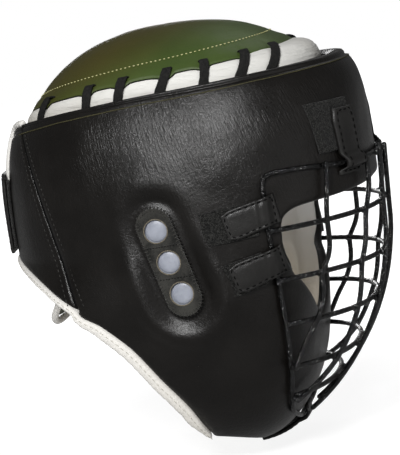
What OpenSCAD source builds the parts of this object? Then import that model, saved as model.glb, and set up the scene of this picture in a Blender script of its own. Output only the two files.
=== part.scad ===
// Boxing headgear with a removable wire face cage.
// Millimetres. X points out of the face, Y to the wearer's left and Z up.
// The origin is the middle of the head space, level with the ears.

/* [Shell] */
// From the middle of the head forward to the face of the forehead
fore_x = 128; // [112:1:140]
// From the middle of the head back to the rear face
rear_x = 126; // [110:1:136]
// Half of the width over the ears
half_w = 100; // [88:1:112]
// Height at which the curve of the upper sides would close
dome_z = 150; // [135:1:165]
// Height at which the curve of the back would close
rear_curve_z = 120; // [114:1:130]
// Height at which the curve of the forehead would close
brow_curve_z = 119; // [117:1:126]
// From the middle of the head forward to the face of the chin
chin_x = 81; // [74:1:86]
// From the middle of the head down to the underside of the chin
chin_z = 146; // [138:1:152]
// Height of the top edge at the forehead
rim_front_z = 113; // [107:1:114]
// Height of the top edge at the back
rim_rear_z = 88; // [80:1:94]
// Height of the bottom edge at the middle of the back
nape_z = 4; // [-4:1:8]
// Thickness of the leather outside
cover_t = 1.4; // [1:0.1:2]
// Thickness of the foam
foam_t = 17.6; // [12:0.2:22]
// Thickness of the lining leather
lining_t = 1.2; // [0.8:0.1:2]
// Depth of the rolled leather along the top edge
rolled_edge = 5; // [4:0.5:8]
// Height of the white binding along the bottom edge
binding_h = 5; // [3:0.5:8]

/* [Face opening] */
// How far round the head the opening reaches on each side, in degrees
open_angle = 60; // [55:1:62]
// Height of the brow edge
brow_z = 24; // [18:1:28]
// How far the opening reaches down to the chin
open_down = 68; // [62:1:74]

/* [Crown] */
// Height of the crown's top
crown_z = 146; // [138:1:152]
// Thickness of the crown's foam
crown_foam_t = 8; // [5:0.5:12]
// Height of the white band between the shell's edge and the crown
band_h = 10; // [7:0.5:13]
// Thickness of the white band
band_t = 2.4; // [1.6:0.2:3]

/* [Lacing] */
// Width of the flat lace
lace_w = 6; // [4:0.5:8]
// Thickness of the lace
lace_t = 1.1; // [0.8:0.1:1.6]
// Turns of the lace on each side
lace_turns = 7; // [4:1:9]
// Gap between the lace and what it goes round
lace_gap = 0.55; // [0.3:0.05:0.8]

/* [Ears] */
// Length of the ear patch
ear_len = 76; // [64:1:84]
// Width of the ear patch
ear_w = 25; // [20:1:30]
// Diameter of each ear hole
ear_hole_d = 15.5; // [10:0.5:18]
// Distance from one ear hole to the next
ear_pitch = 22; // [19:0.5:24]
// Lean of the ear patch towards the back of the head at its top
ear_lean = 14; // [0:1:25]
// Thickness of the suede patch
ear_patch_t = 2.2; // [1.4:0.1:3]
// Thickness of the plastic insert behind the holes
ear_plate_t = 1.6; // [1:0.1:2.5]

/* [Cage] */
// Diameter of the cage's wire with its dip coat
wire_d = 3.5; // [3:0.1:4.5]
// Height of the cage's top bar
top_bar_z = 44; // [38:1:52]
// Place of the side bars along the head
side_bar_x = 65; // [60:1:70]
// From the middle of the head to the front of the upright wires
cage_x = 132; // [126:1:140]
// Height at which the cage's front would close below the chin
cage_close_z = 149; // [145:1:158]
// Lower end of the side bars
side_bar_end_z = -121; // [-124:1:-117]
// Distance of the middle pair of upright wires from the centre line
upright_y = 16; // [12:1:20]
// Distance of the next pair from the centre line
upright_2_y = 38.5; // [36:0.5:39]
// Distance of the outer pair from the centre line
upright_3_y = 71; // [66:1:74]
// Height at which the outer pair joins the side bars
upright_3_end_z = -87; // [-92:1:-80]
// Height at which the next pair joins the side bars
upright_2_end_z = -111; // [-114:1:-106]

/* [Tabs] */
// Width of each fastening tab
tab_w = 20; // [16:1:22]
// Thickness of each tab
tab_t = 2.2; // [1.6:0.1:3]
// Thickness of the hook and loop patches
patch_t = 1.7; // [1.2:0.1:2.4]
// Length of a side tab behind the side bar
side_tab_back = 27; // [22:1:32]
// Length of a side tab in front of the side bar
side_tab_front = 7.5; // [6:0.5:8]
// Length of a forehead tab above the top bar
fore_tab_up = 33; // [26:1:38]
// Distance of a forehead tab's inner edge from the centre line
fore_tab_y = 41.5; // [41:0.5:45]
// Length of the chin tab behind the bottom bar
chin_tab_back = 34; // [26:1:36]

/* [Back] */
// Width of the closing flap at the back
flap_w = 72; // [56:1:84]
// Lower edge of the closing flap
flap_low_z = 6; // [2:1:14]
// Upper edge of the closing flap
flap_top_z = 62; // [50:1:66]
// Width of the padded tongue behind the closure
tongue_w = 84; // [60:1:96]
// Lower end of the tongue
tongue_low_z = -44; // [-50:1:-34]

/* [Hidden] */

// Gap between one soft layer and the next
clear = 0.3;
wire_r = wire_d / 2;
// Height of a wire's axis over the leather that it lies on
stand = wire_r + 0.45;
// Depths below the outer face at which the layers start
foam_d = cover_t + clear;
lining_d = foam_d + foam_t + clear;
inside_d = lining_d + lining_t;
// Squareness of the head's outline seen from above, at the ears and at the chin
plan_n = 2.3;
chin_n = 3.2;
// Rings round the face opening on one half of the shell, and rows from it outwards
half_rings = 25;
rows = 6;
// Heights of the cage's cross bars
bar_z = [7, -27, -57, -87, -108];
// Where the seam to the back meets the bottom edge, and its angle round the head there and at the top
seam_low_x = -70;
seam_low_z = -29;
seam_low_a = angle_at(seam_low_x, seam_low_z);
seam_top_a = 151;
// Share of the way round an opening ring at which the edge changes from jaw to seam to top
jaw_i = 9;
seam_i = 13;
jaw_t = jaw_i / half_rings;
seam_t = seam_i / half_rings;
seam_gap = 0.12;
// Sides of a wire and of the lace in section
wire_sides = 8;

function power(v, e) = v <= 0 ? 0 : pow(v, e);
function sweep(u, m) = power(1 - pow(min(abs(u), 1), m), 1 / m);
function mix(a, b, t) = a + (b - a) * t;
function ease(t) = let (c = min(max(t, 0), 1)) c * c * (3 - 2 * c);
function unit(v) = v / norm(v);
function flip(p) = [p[0], -p[1], p[2]];

// Half sizes of the shell's level section at height z, at depth d below its face
function true_z(z, d) = z < 0 ? z * chin_z / (chin_z - d) : z;
function side_at(z, d) = z < 0
    ? (half_w - d) * sweep(z / (chin_z - d), 3.1)
    : (half_w - d) * sweep(z / (dome_z - d), 2.6);
function back_at(z, d) = z < 0
    ? (rear_x - d) * sweep(z / (chin_z - d), 2.7)
    : (rear_x - d) * sweep(z / (rear_curve_z - d), 4);
function front_at(z, d) = z < 0
    ? (mix(fore_x, chin_x, ease((5 - true_z(z, d)) / 35)) - d) * sweep(z / (chin_z - d), 3)
    : (mix(fore_x, chin_x, ease((5 - z) / 35)) - d) * sweep(z / (brow_curve_z - d), 8);
function square_at(z, d) = mix(plan_n, chin_n, ease((5 - true_z(z, d)) / 40));

// Height that belongs to a rise angle w, which is 90 at the crown and -90 under the chin
function height_at(w, d) = w < 0 ? (chin_z - d) * sin(w) : (dome_z - d) * sin(w);
function rise_of(z) = z < 0 ? asin(z / chin_z) : asin(z / dome_z);

// A point of the shell: a is the angle round the head from the face, w its rise angle
function shell(a, w, d) = let (
    z = height_at(w, d),
    n = square_at(z, d),
    reach = cos(a) < 0 ? -back_at(z, d) : front_at(z, d)
) [reach * power(1 - power(abs(sin(a)), n), 1 / n), side_at(z, d) * sin(a), z];

// Angle round the head of a point of the side, from its place along the head
function angle_at(x, z) = let (
    n = square_at(z, 0),
    q = asin(power(1 - pow(min(abs(x) / (x < 0 ? back_at(z, 0) : front_at(z, 0)), 1), n), 1 / n))
) x < 0 ? 180 - q : q;

// The same face by place: at the side by x and z, in front and behind by y and z
function on_side(x, z, d) = let (
    n = square_at(z, d),
    reach = x < 0 ? back_at(z, d) : front_at(z, d)
) [x, side_at(z, d) * power(1 - pow(min(abs(x) / reach, 1), n), 1 / n), z];
function on_front(y, z, d) = let (n = square_at(z, d))
    [front_at(z, d) * power(1 - pow(min(abs(y) / side_at(z, d), 1), n), 1 / n), y, z];
function on_back(y, z, d) = let (n = square_at(z, d))
    [-back_at(z, d) * power(1 - pow(min(abs(y) / side_at(z, d), 1), n), 1 / n), y, z];

// The crown's dome, by the same two angles
function crown(a, w, d) = let (z = (crown_z - d) * sin(w), q = sweep(sin(w), 2.4)) [
    (cos(a) < 0 ? d + 2 - rear_x : fore_x - d) * q * power(1 - power(abs(sin(a)), plan_n), 1 / plan_n),
    (half_w - d) * q * sin(a),
    z
];

// Edges of the shell
function rim_z(a) = mix(rim_front_z, rim_rear_z, pow(abs(a) / 180, 2));
function rim_w(a) = rise_of(rim_z(a));
function nape_w(a) = rise_of(mix(nape_z, seam_low_z,
    power((180 - abs(a)) / (180 - seam_low_a), 2.3)));
// The seam runs straight up the head from the jaw's edge to the top edge
seam_top_x = shell(seam_top_a, rim_w(seam_top_a), 0)[0];
function seam_a(v) = v >= 1 ? seam_top_a
    : angle_at(mix(seam_low_x, seam_top_x, v), height_at(seam_w(v), 0));
function seam_w(v) = mix(nape_w(seam_low_a), rim_w(seam_top_a), v);
// The jaw's edge from the chin at q = 0 to the seam at q = 1: places along the head and heights
function jaw_x(q) = lookup(q, [[0.3, 2], [0.42, -7], [0.57, -22], [0.72, -38], [0.85, -56], [1, seam_low_x]]);
function jaw_z(q) = lookup(q, [[0, -144.5], [0.15, -142], [0.3, -131], [0.42, -107], [0.57, -83],
    [0.72, -59], [0.85, -41.5], [1, seam_low_z]]);
function jaw_a(q) = q < 0.3
    ? angle_at(2, jaw_z(0.3)) * power(q / 0.3, 0.9)
    : mix(angle_at(jaw_x(q), jaw_z(q)), seam_low_a, ease((q - 0.85) / 0.15));

// Ring of the face opening at t, which is 0 at the chin and 1 at the brow
mouth_a = [[0, 0], [0.08, 0.177], [0.125, 0.255], [0.215, 0.44], [0.285, 0.58], [0.375, 0.81],
    [0.435, 0.963], [0.475, 1], [0.5, 1], [0.53, 0.985], [0.555, 0.95], [0.585, 0.893], [0.62, 0.82],
    [0.7, 0.66], [1, 0]];
mouth_low = [[0, 1], [0.08, 0.91], [0.125, 0.81], [0.215, 0.61], [0.285, 0.47], [0.375, 0.287],
    [0.435, 0.128], [0.475, 0]];
mouth_high = [[0.475, 0], [0.5, 0.26], [0.53, 0.54], [0.555, 0.7], [0.585, 0.8], [0.62, 0.84],
    [0.7, 0.88], [1, 1]];
function mouth_share(t) = lookup(t, [[0, 0], [jaw_t, 0.465], [seam_t, 0.57], [1, 1]]);
function mouth(t) = let (m = mouth_share(t)) [
    open_angle * lookup(m, mouth_a),
    rise_of(m < 0.475 ? -open_down * lookup(m, mouth_low) : brow_z * lookup(m, mouth_high))
];

// Outer edge of the front part at t: jaw, seam and top edge
function outer(t) = t < jaw_t
    ? [jaw_a(t / jaw_t), rise_of(jaw_z(t / jaw_t))]
    : t < seam_t
        ? let (v = (t - jaw_t) / (seam_t - jaw_t)) [seam_a(v) - seam_gap, seam_w(v)]
        : let (a = seam_top_a * (1 - (t - seam_t) / (1 - seam_t)))
            [a - seam_gap * a / seam_top_a, rim_w(a)];

// A point of the front part at t and s, with t below zero on the wearer's right
function front_point(t, s, d) = let (
    h = abs(t),
    i = mouth(h),
    o = outer(h),
    p = shell(mix(i[0], o[0], s) * (h == 0 || h == 1 ? 0 : 1), mix(i[1], o[1], s), d)
) t < 0 ? flip(p) : p;

// A grid of points drawn in at its edges by millimetres, always along its own facets
function step_to(p, q, dist) = dist <= 0 ? p : p + (q - p) * min(dist / max(norm(q - p), 0.01), 0.7);
function trim_column(c, low, high) = let (n = len(c)) [for (j = [0:n - 1])
    j == 0 ? step_to(c[0], c[1], low) : j == n - 1 ? step_to(c[j], c[j - 1], high) : c[j]];
function trim_face(face, first, last, low, high) = let (
    n = len(face),
    m = len(face[0]),
    rows_in = [for (c = face) trim_column(c, low, high)]
) [for (i = [0:n - 1]) [for (j = [0:m - 1])
    i == 0 ? step_to(rows_in[0][j], rows_in[1][j], first)
    : i == n - 1 ? step_to(rows_in[i][j], rows_in[i - 1][j], last)
    : rows_in[i][j]]];

// A closed sheet between two grids of points, each a list of columns of points
module sheet(a, b, ring = false) {
    columns = len(a);
    n = len(a[0]);
    m = columns * n;
    last = ring ? columns - 1 : columns - 2;
    faces = concat(
        [for (i = [0:last], j = [0:n - 2]) let (k = (i + 1) % columns)
            each [[i * n + j, k * n + j + 1, i * n + j + 1], [i * n + j, k * n + j, k * n + j + 1]]],
        [for (i = [0:last], j = [0:n - 2]) let (k = (i + 1) % columns)
            each [
                [m + i * n + j, m + i * n + j + 1, m + k * n + j + 1],
                [m + i * n + j, m + k * n + j + 1, m + k * n + j]
            ]],
        [for (i = [0:last]) let (k = (i + 1) % columns)
            each [[i * n, m + k * n, k * n], [i * n, m + i * n, m + k * n]]],
        [for (i = [0:last]) let (k = (i + 1) % columns, e = n - 1)
            each [[i * n + e, k * n + e, m + k * n + e], [i * n + e, m + k * n + e, m + i * n + e]]],
        ring ? [] : [for (j = [0:n - 2]) each [[j, m + j + 1, m + j], [j, j + 1, m + j + 1]]],
        ring ? [] : [for (j = [0:n - 2]) let (e = (columns - 1) * n)
            each [[e + j, m + e + j, m + e + j + 1], [e + j, m + e + j + 1, e + j + 1]]]
    );
    polyhedron(concat([for (c = a) each c], [for (c = b) each c]), faces);
}

// A round bar along a path of points, with its sides lined up by the way out of the head
module bar(path, d, sides = wire_sides, ring = false) {
    n = len(path);
    centre = [10, 0, -10];
    function back_i(i) = ring ? (i + n - 1) % n : max(i - 1, 0);
    function next_i(i) = ring ? (i + 1) % n : min(i + 1, n - 1);
    points = [for (i = [0:n - 1]) let (
        along = unit(path[next_i(i)] - path[back_i(i)]),
        across = unit(cross(along, path[i] - centre)),
        out = cross(across, along)
    ) for (k = [0:sides - 1]) path[i]
        + d / 2 * (cos(360 * (k + 0.5) / sides) * out + sin(360 * (k + 0.5) / sides) * across)];
    walls = [for (i = [0:ring ? n - 1 : n - 2], k = [0:sides - 1]) let (
        j = (i + 1) % n,
        l = (k + 1) % sides
    ) each [
        [i * sides + k, j * sides + l, i * sides + l],
        [i * sides + k, j * sides + k, j * sides + l]
    ]];
    caps = ring ? [] : concat(
        [for (k = [1:sides - 2]) [0, k, k + 1]],
        [for (k = [1:sides - 2]) let (e = (n - 1) * sides) [e, e + k + 1, e + k]]
    );
    polyhedron(points, concat(walls, caps));
}

// Shell layers in front of the seam, all on the same rings and rows

function front_face(ts, d) = [for (t = ts) [for (j = [0:rows]) front_point(t, j / rows, d)]];
function ring_ts() = [for (i = [-half_rings + 1:half_rings]) i / half_rings];
// The cover rolls inwards at its edges, furthest along the top, and the lining comes out to meet it
function roll_of(t) = abs(t) > seam_t - 0.001 ? rolled_edge : 2.4;
mouth_lip = 6;
pad_inset = cover_t + 2 * clear;

module front_cover() {
    color("#1c1b1a") {
        ts = ring_ts();
        outside = [for (t = ts) concat(
            [front_point(t, 0, mouth_lip)],
            [for (j = [0:rows]) front_point(t, j / rows, 0)],
            [front_point(t, 1, roll_of(t))]
        )];
        inside = [for (t = ts) let (
            lip = [for (j = [0:rows]) front_point(t, j / rows, mouth_lip)],
            roll = [for (j = [0:rows]) front_point(t, j / rows, roll_of(t))],
            under = [for (j = [0:rows]) front_point(t, j / rows, cover_t)]
        ) concat(
            [step_to(lip[0], lip[1], cover_t)],
            trim_column(under, cover_t, cover_t),
            [step_to(roll[rows], roll[rows - 1], cover_t)]
        )];
        sheet(outside, inside, true);
    }
}

// A pad from one ring to another, a little short of both and of the cloth on each side
foam_ease = 0.5;
function foam_face(ts, d) = trim_face(front_face(ts, d), 0.35, 0.35, pad_inset + 0.5, pad_inset + 1.4);
module foam(ts) {
    color("#3d3d40") sheet(foam_face(ts, foam_d + foam_ease / 4), foam_face(ts, foam_d + foam_t - foam_ease));
}
forehead_i = 17;
chin_i = 2;
forehead_ts = [for (i = [forehead_i - half_rings:half_rings - forehead_i])
    i > 0 ? (i - half_rings) / half_rings : (i + half_rings) / half_rings];

module forehead_pad() {
    foam(forehead_ts);
}
module side_pad_left() {
    foam([for (i = [chin_i:forehead_i]) i / half_rings]);
}
module side_pad_right() {
    foam([for (i = [-forehead_i:-chin_i]) i / half_rings]);
}
module chin_pad() {
    foam([for (i = [-chin_i:chin_i]) i / half_rings]);
}

module front_lining() {
    color("#d9d4c6") {
        ts = ring_ts();
        wall = mouth_lip + clear;
        sheet(
            [for (t = ts) let (c = [for (j = [0:rows]) front_point(t, j / rows, lining_d)],
                edge = [for (j = [0:1]) front_point(t, j / rows, wall)])
                concat([step_to(edge[0], edge[1], lining_t)], trim_column(c, lining_t, 0))],
            [for (t = ts) concat([front_point(t, 0, wall)],
                [for (j = [0:rows]) front_point(t, j / rows, inside_d)])],
            true
        );
    }
}

// Shell layers behind the seam

function rear_point(u, v, d, gap) = let (
    a0 = seam_a(v),
    a = mix(a0 + seam_gap, 180 - gap, u),
    fix = seam_w(v) - mix(nape_w(a0), rim_w(a0), v),
    w = mix(nape_w(a), rim_w(a), v) + (1 - u) * fix
) shell(a, w, d);
rear_n = 4;
function rear_face(d, gap, inset) = trim_face([for (i = [0:rear_n]) [for (j = [0:rear_n])
    rear_point(i / rear_n, j / rear_n, d, gap)]], inset, 0, inset, inset);

// The right half runs on from the left half, so that all layers bend along the same lines
function on_right(face, skip = 0) = [for (i = [len(face) - 1 - skip:-1:0]) [for (p = face[i]) flip(p)]];

module rear_cover_left() {
    color("#1c1b1a") sheet(rear_face(cover_t, 0.6, 0), rear_face(0, 0.6, 0));
}
module rear_cover_right() {
    color("#1c1b1a") sheet(on_right(rear_face(cover_t, 0.6, 0)), on_right(rear_face(0, 0.6, 0)));
}
module rear_pad_left() {
    color("#3d3d40") sheet(rear_face(foam_d + foam_t, 0.6, pad_inset), rear_face(foam_d, 0.6, pad_inset));
}
module rear_pad_right() {
    color("#3d3d40") sheet(on_right(rear_face(foam_d + foam_t, 0.6, pad_inset)),
        on_right(rear_face(foam_d, 0.6, pad_inset)));
}
module rear_lining() {
    color("#d9d4c6") {
        outside = rear_face(lining_d, 0, 0);
        inside = rear_face(inside_d, 0, 0);
        sheet(concat(inside, on_right(inside, 1)), concat(outside, on_right(outside, 1)));
    }
}

// White leather at the edges

band_low_d = rolled_edge + 1.9;
function band_low(a, d) = shell(a, rim_w(a) + 0.35, d);
function band_top(a, d) = let (w = asin(min((rim_z(a) + band_h) / crown_z, 0.98))) crown(a, w, d);
// One point of the band: s runs from the shell's edge to the crown's, d is the depth
function band_point(a, s, d) = let (
    p = mix(band_low(a, band_low_d + d), band_top(a, d), s),
    c = unit(p - [0, 0, 20])
) p + c * (1.8 + 4 * power(cos(a), 6)) * sin(180 * s);
function band_angles(n) = [for (i = [0:n - 1]) mix(180, -180, i / n)];

module edge_band() {
    color("#e6e2d6") sheet(
        [for (a = band_angles(48)) [for (j = [0:4]) band_point(a, j / 4, 0)]],
        [for (a = band_angles(48)) [for (j = [0:4]) band_point(a, j / 4, band_t)]],
        true
    );
}

// The binding closes the layers along the jaw and the nape, ring by ring
binding_i = 3;
binding_edges = concat(
    [for (i = [binding_i:jaw_i]) i == jaw_i
        ? [seam_low_a - seam_gap, nape_w(seam_low_a)]
        : outer(i / half_rings)],
    [for (i = [1:rear_n]) let (a = mix(seam_low_a + seam_gap, 180, i / rear_n)) [a, nape_w(a)]]
);
// Section of the binding: distance past the shell's edge and depth under the shell's face
binding_rolls = [[1.3, 0.4], [2.4, -1.1], [binding_h, -0.4], [binding_h + 1.4, 4], [binding_h + 1.2, inside_d - 5],
    [binding_h - 1, inside_d - 1.4], [1.6, inside_d - 0.5]];
function binding_frame(i) = let (
    n = len(binding_edges),
    at = function(k) let (e = binding_edges[min(max(k, 0), n - 1)]) shell(e[0], e[1], 0),
    e = binding_edges[i],
    along = unit(at(i + 1) - at(i - 1)),
    up = shell(e[0], e[1] + 1.5, 0) - shell(e[0], e[1], 0),
    deep = shell(e[0], e[1], inside_d) - at(i)
) [at(i), -unit(up - along * (up * along)), deep / inside_d];
function binding_column(i, rolls) = let (f = binding_frame(i), n = len(binding_edges),
    grow = min(1, 0.35 + i / 3))
    [for (q = rolls) f[0] + f[1] * q[0] * (i < 3 ? grow : 1) + f[2] * q[1]];
module bottom_binding() {
    color("#e6e2d6") {
        m = len(binding_rolls);
        low = [for (i = [0:len(binding_edges) - 1]) binding_column(i, binding_rolls)];
        high = [for (i = [0:len(binding_edges) - 1]) binding_column(i, [for (j = [0:m - 1])
            [0.5, mix(binding_rolls[0][1], binding_rolls[m - 1][1], j / (m - 1))]])];
        sheet(concat(low, on_right(low, 1)), concat(high, on_right(high, 1)));
    }
}

// Crown

function crown_edge_w(a) = asin(min((rim_z(a) + band_h + 1.9) / crown_z, 0.985));
crown_columns = 32;
crown_rows = 6;
function crown_face(d, n, m, low) = [for (i = [0:n - 1]) let (a = mix(180, -180, i / n))
    [for (j = [0:m]) crown(a, mix(crown_edge_w(a), 89.2, 1 - pow(1 - j / m, 1.15)) - (j == 0 ? low : 0), d)]];

module dome(d0, d1, n, m, low) {
    a = crown_face(d0, n, m, low);
    b = crown_face(d1, n, m, low);
    count = m + 1;
    half = n * count;
    top_a = 2 * half;
    top_b = top_a + 1;
    faces = concat(
        [for (i = [0:n - 1], j = [0:m - 1]) let (k = (i + 1) % n)
            each [
                [i * count + j, k * count + j + 1, i * count + j + 1],
                [i * count + j, k * count + j, k * count + j + 1]
            ]],
        [for (i = [0:n - 1], j = [0:m - 1]) let (k = (i + 1) % n)
            each [
                [half + i * count + j, half + i * count + j + 1, half + k * count + j + 1],
                [half + i * count + j, half + k * count + j + 1, half + k * count + j]
            ]],
        [for (i = [0:n - 1]) let (k = (i + 1) % n)
            each [[i * count, half + k * count, k * count], [i * count, half + i * count, half + k * count]]],
        [for (i = [0:n - 1]) let (k = (i + 1) % n) [i * count + m, k * count + m, top_a]],
        [for (i = [0:n - 1]) let (k = (i + 1) % n) [half + i * count + m, top_b, half + k * count + m]]
    );
    points = concat([for (c = a) each c], [for (c = b) each c],
        [[0, 0, crown_z - d0], [0, 0, crown_z - d1]]);
    polyhedron(points, faces);
}

module crown_cover() {
    color("#475c2b") dome(0, cover_t, crown_columns, crown_rows, 0);
}
module crown_pad() {
    color("#3d3d40") dome(foam_d, foam_d + crown_foam_t, crown_columns, crown_rows, -0.8);
}
module crown_lining() {
    color("#d9d4c6") {
        d = foam_d + crown_foam_t + clear;
        dome(d, d + lining_t, crown_columns, crown_rows, 4.5);
    }
}

// The lace is one flat band on each side that goes round and round the white band

function lace_low_a(k) = lookup(k / (lace_turns - 1), [[0, 142], [0.17, 114], [0.83, 64], [1, 50]]);
function lace_high_a(k) = lookup(k / (lace_turns - 1), [[0, 138], [0.17, 113], [0.67, 71], [1, 31]]);
// Steps of one turn: share of the way across the band, millimetres past that, side and share of the turn
lace_steps = [
    [0, 0.1, -1, 0], [0.35, 0, -1, 0.35], [0.68, 0, -1, 0.7], [1, -0.1, -1, 1], [1, 1.35, 0, 1.03],
    [1, 1.35, 1, 1.06], [1, -0.1, 2, 1.1], [0.62, 0, 2, 1.35], [0.35, 0, 2, 1.6], [0, 0.1, 2, 1.9],
    [0, -1.35, 1, 1.94], [0, -1.35, 0, 1.97]
];
function lace_depth(side) = side == -1 ? -lace_gap - lace_t / 2
    : side == 2 ? band_t + lace_gap + lace_t / 2 : mix(0.1, band_t - 0.1, side);
// A turn leans from its lower to its upper angle outside, then goes on to the next one inside
function lace_angle(k, s) = s <= 1 ? mix(lace_low_a(k), lace_high_a(k), s)
    : mix(lace_high_a(k), lace_low_a(k + 1), s - 1);
function lace_route() = [for (k = [0:lace_turns - 1], s = lace_steps)
    if (k < lace_turns - 1 || s[2] == -1) let (a = lace_angle(k, s[3]),
        share = s[0] + s[1] / norm(band_point(a, 1, 0) - band_point(a, 0, 0)))
        [band_point(a, share, lace_depth(s[2])), a]];

module lace() {
    route = lace_route();
    path = [for (r = route) r[0]];
    n = len(path);
    points = [for (i = [0:n - 1]) let (
        a = route[i][1],
        along = unit(path[min(i + 1, n - 1)] - path[max(i - 1, 0)]),
        wide = unit(band_point(a - 2, 0.5, 0) - band_point(a + 2, 0.5, 0)),
        across = unit(wide - along * (wide * along)),
        out = cross(across, along)
    ) each [for (c = [[-1, -1], [1, -1], [1, 1], [-1, 1]])
        path[i] + c[0] * lace_w / 2 * across + c[1] * lace_t / 2 * out]];
    walls = [for (i = [0:n - 2], k = [0:3]) let (l = (k + 1) % 4)
        each [[i * 4 + k, i * 4 + l, (i + 1) * 4 + l], [i * 4 + k, (i + 1) * 4 + l, (i + 1) * 4 + k]]];
    e = (n - 1) * 4;
    polyhedron(points, concat(walls, [[0, 2, 1], [0, 3, 2], [e, e + 1, e + 2], [e, e + 2, e + 3]]));
}
module crown_lace() {
    color("#121212") {
        lace();
        mirror([0, 1, 0]) lace();
    }
}

// Ears

ear_x = -1;
ear_z = -3;
module at_ear(out) {
    p = on_side(ear_x, ear_z, 0);
    translate([p[0], p[1] + out, p[2]]) rotate([0, -ear_lean, 0]) rotate([-90, 0, 0]) children();
}
module stadium(l, w, t) {
    linear_extrude(t) {
        square([w, l - w], center = true);
        for (e = [-1, 1]) translate([0, e * (l - w) / 2]) circle(d = w, $fn = 48);
    }
}
module ear_patch_left() {
    color("#33332f") at_ear(ear_plate_t + 2 * clear) difference() {
        stadium(ear_len, ear_w, ear_patch_t);
        for (k = [-1, 0, 1]) translate([0, k * ear_pitch, -1])
            cylinder(d = ear_hole_d, h = ear_patch_t + 2, $fn = 48);
    }
}
module ear_patch_right() {
    mirror([0, 1, 0]) ear_patch_left();
}
module ear_insert_left() {
    color("#c8cbda") at_ear(clear) stadium(ear_len - 4, ear_w - 4, ear_plate_t);
}
module ear_insert_right() {
    mirror([0, 1, 0]) ear_insert_left();
}

// Cage

function side_x(z) = side_bar_x - 9 * power((-z - 60) / 62, 1.8);
function side_y(z) = on_side(side_x(z), z, -stand)[1];
function cage_front(z) = z > 0
    ? cage_x + 2.7 * z / top_bar_z
    : cage_x * power(1 - pow(-z / cage_close_z, 1.85), 0.54);
function cage_n(z) = mix(2.2, 2.45, ease((-z - 25) / 35));
// The cage's face at a height: layer is how far out from the cross bars' axes
function cage_wide(z) = let (f = cage_front(z) - wire_d, n = cage_n(z))
    side_y(z) / power(1 - pow(min(side_x(z) / f, 0.97), n), 1 / n);
function cage_point(y, z, layer) = let (
    n = cage_n(z),
    out = layer * (1 + 0.5 * power((-z - 40) / 80, 1.5)),
    wide = cage_wide(z) + out
)   [(cage_front(z) - wire_d + out) * power(1 - pow(min(abs(y) / wide, 1), n), 1 / n), y, z];
lap = wire_d + 0.3;

function angle_of(x, z) = let (n = square_at(z, -stand))
    asin(power(1 - pow(min(x / front_at(z, -stand), 1), n), 1 / n));
top_bar_y = side_y(top_bar_z) - 1;
// The top bar drops a little in front of the forehead
top_drop = 3.3;
function top_dip(y) = top_drop * (1 - ease((abs(y) - 50) / 36));

// One half of the rim wire, from the middle of the top bar round to the middle of the bottom bar
chin_bar_a = angle_of(side_x(side_bar_end_z), side_bar_end_z);
bottom_bar_z = -133.5;
function rim_half() = concat(
    [for (i = [0:11]) let (y = top_bar_y * sin(90 * i / 11))
        cage_point(y, top_bar_z, 0) - [0, 0, top_dip(y)]],
    [for (i = [0:12]) let (z = mix(top_bar_z - 3, side_bar_end_z, i / 12)) [side_x(z), side_y(z), z]],
    [for (i = [1:6]) let (a = mix(chin_bar_a, 0, i / 6),
        z = mix(bottom_bar_z, side_bar_end_z, pow(a / chin_bar_a, 2))) shell(a, asin(z / (chin_z + stand)), -stand)]
);

module cage_rim_wire() {
    color("#0e0e0e") {
        half = rim_half();
        n = len(half);
        bar(concat(half, [for (i = [n - 2:-1:1]) flip(half[i])]), wire_d, wire_sides, true);
    }
}

// A cross bar ends against the side bars
function cross_path(z) = let (
    e = side_y(z),
    y1 = e * (1 - pow((wire_d + 0.4) / (cage_front(z) - side_x(z)), 2) / 2) - 0.6,
    reach = side_x(z) + wire_d + 0.15
) [for (i = [-10:10]) let (
    q = sin(9 * i),
    p = cage_point(q * y1, z, 0)
) [max(p[0], reach), p[1], p[2]]];
module cage_bar(z) {
    color("#0e0e0e") bar(cross_path(z), wire_d);
}
module cage_bar_1() {
    cage_bar(bar_z[0]);
}
module cage_bar_2() {
    cage_bar(bar_z[1]);
}
module cage_bar_3() {
    cage_bar(bar_z[2]);
}
module cage_bar_4() {
    cage_bar(bar_z[3]);
}
module cage_bar_5() {
    cage_bar(bar_z[4]);
}

// Upright wires lie outside the cross bars and lap over the rim wire at both ends:
// a lower end, a place across at the top, and how far out the wire has gone at heights between
function upright(z1, y, spread, n) = let (
    places = concat([[z1, side_y(z1) + lap]], [for (q = spread) [q[0], y + q[1]]], [[top_bar_z, y]])
) [for (i = [0:n]) let (z = mix(top_bar_z + 1 - top_dip(y), z1, i / n)) cage_point(lookup(z, places), z, lap)];

module uprights(path) {
    color("#0e0e0e") {
        bar(path, wire_d);
        mirror([0, 1, 0]) bar(path, wire_d);
    }
}
module cage_middle_uprights() {
    uprights([for (i = [0:15]) let (z = mix(top_bar_z + 1 - top_dip(upright_y), -129, i / 15))
        cage_point(upright_y, z, lap)]);
}
module cage_inner_uprights() {
    uprights(upright(upright_2_end_z, upright_2_y, [[-100, 22], [-87, 15.5], [-73, 13], [-55, 11.5], [-20, 10], [2, 8], [26, 0]], 14));
}
module cage_outer_uprights() {
    uprights(upright(upright_3_end_z, upright_3_y, [[-71, 7.5], [-55, 4.5], [-40, 1.8], [-25, 2.8], [5, 3.8]], 13));
}

// Tabs and hook and loop patches

patch_d = -clear;
patch_top = -clear - patch_t;
// Height of a tab's underside at a distance along it from the wire that it crosses
function tab_lift(u, rise, far) = lookup(u, [[-side_tab_front, clear], [-4.6, clear],
    [-1.8, rise], [1.8, rise], [5.2, far], [60, far]]);

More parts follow.
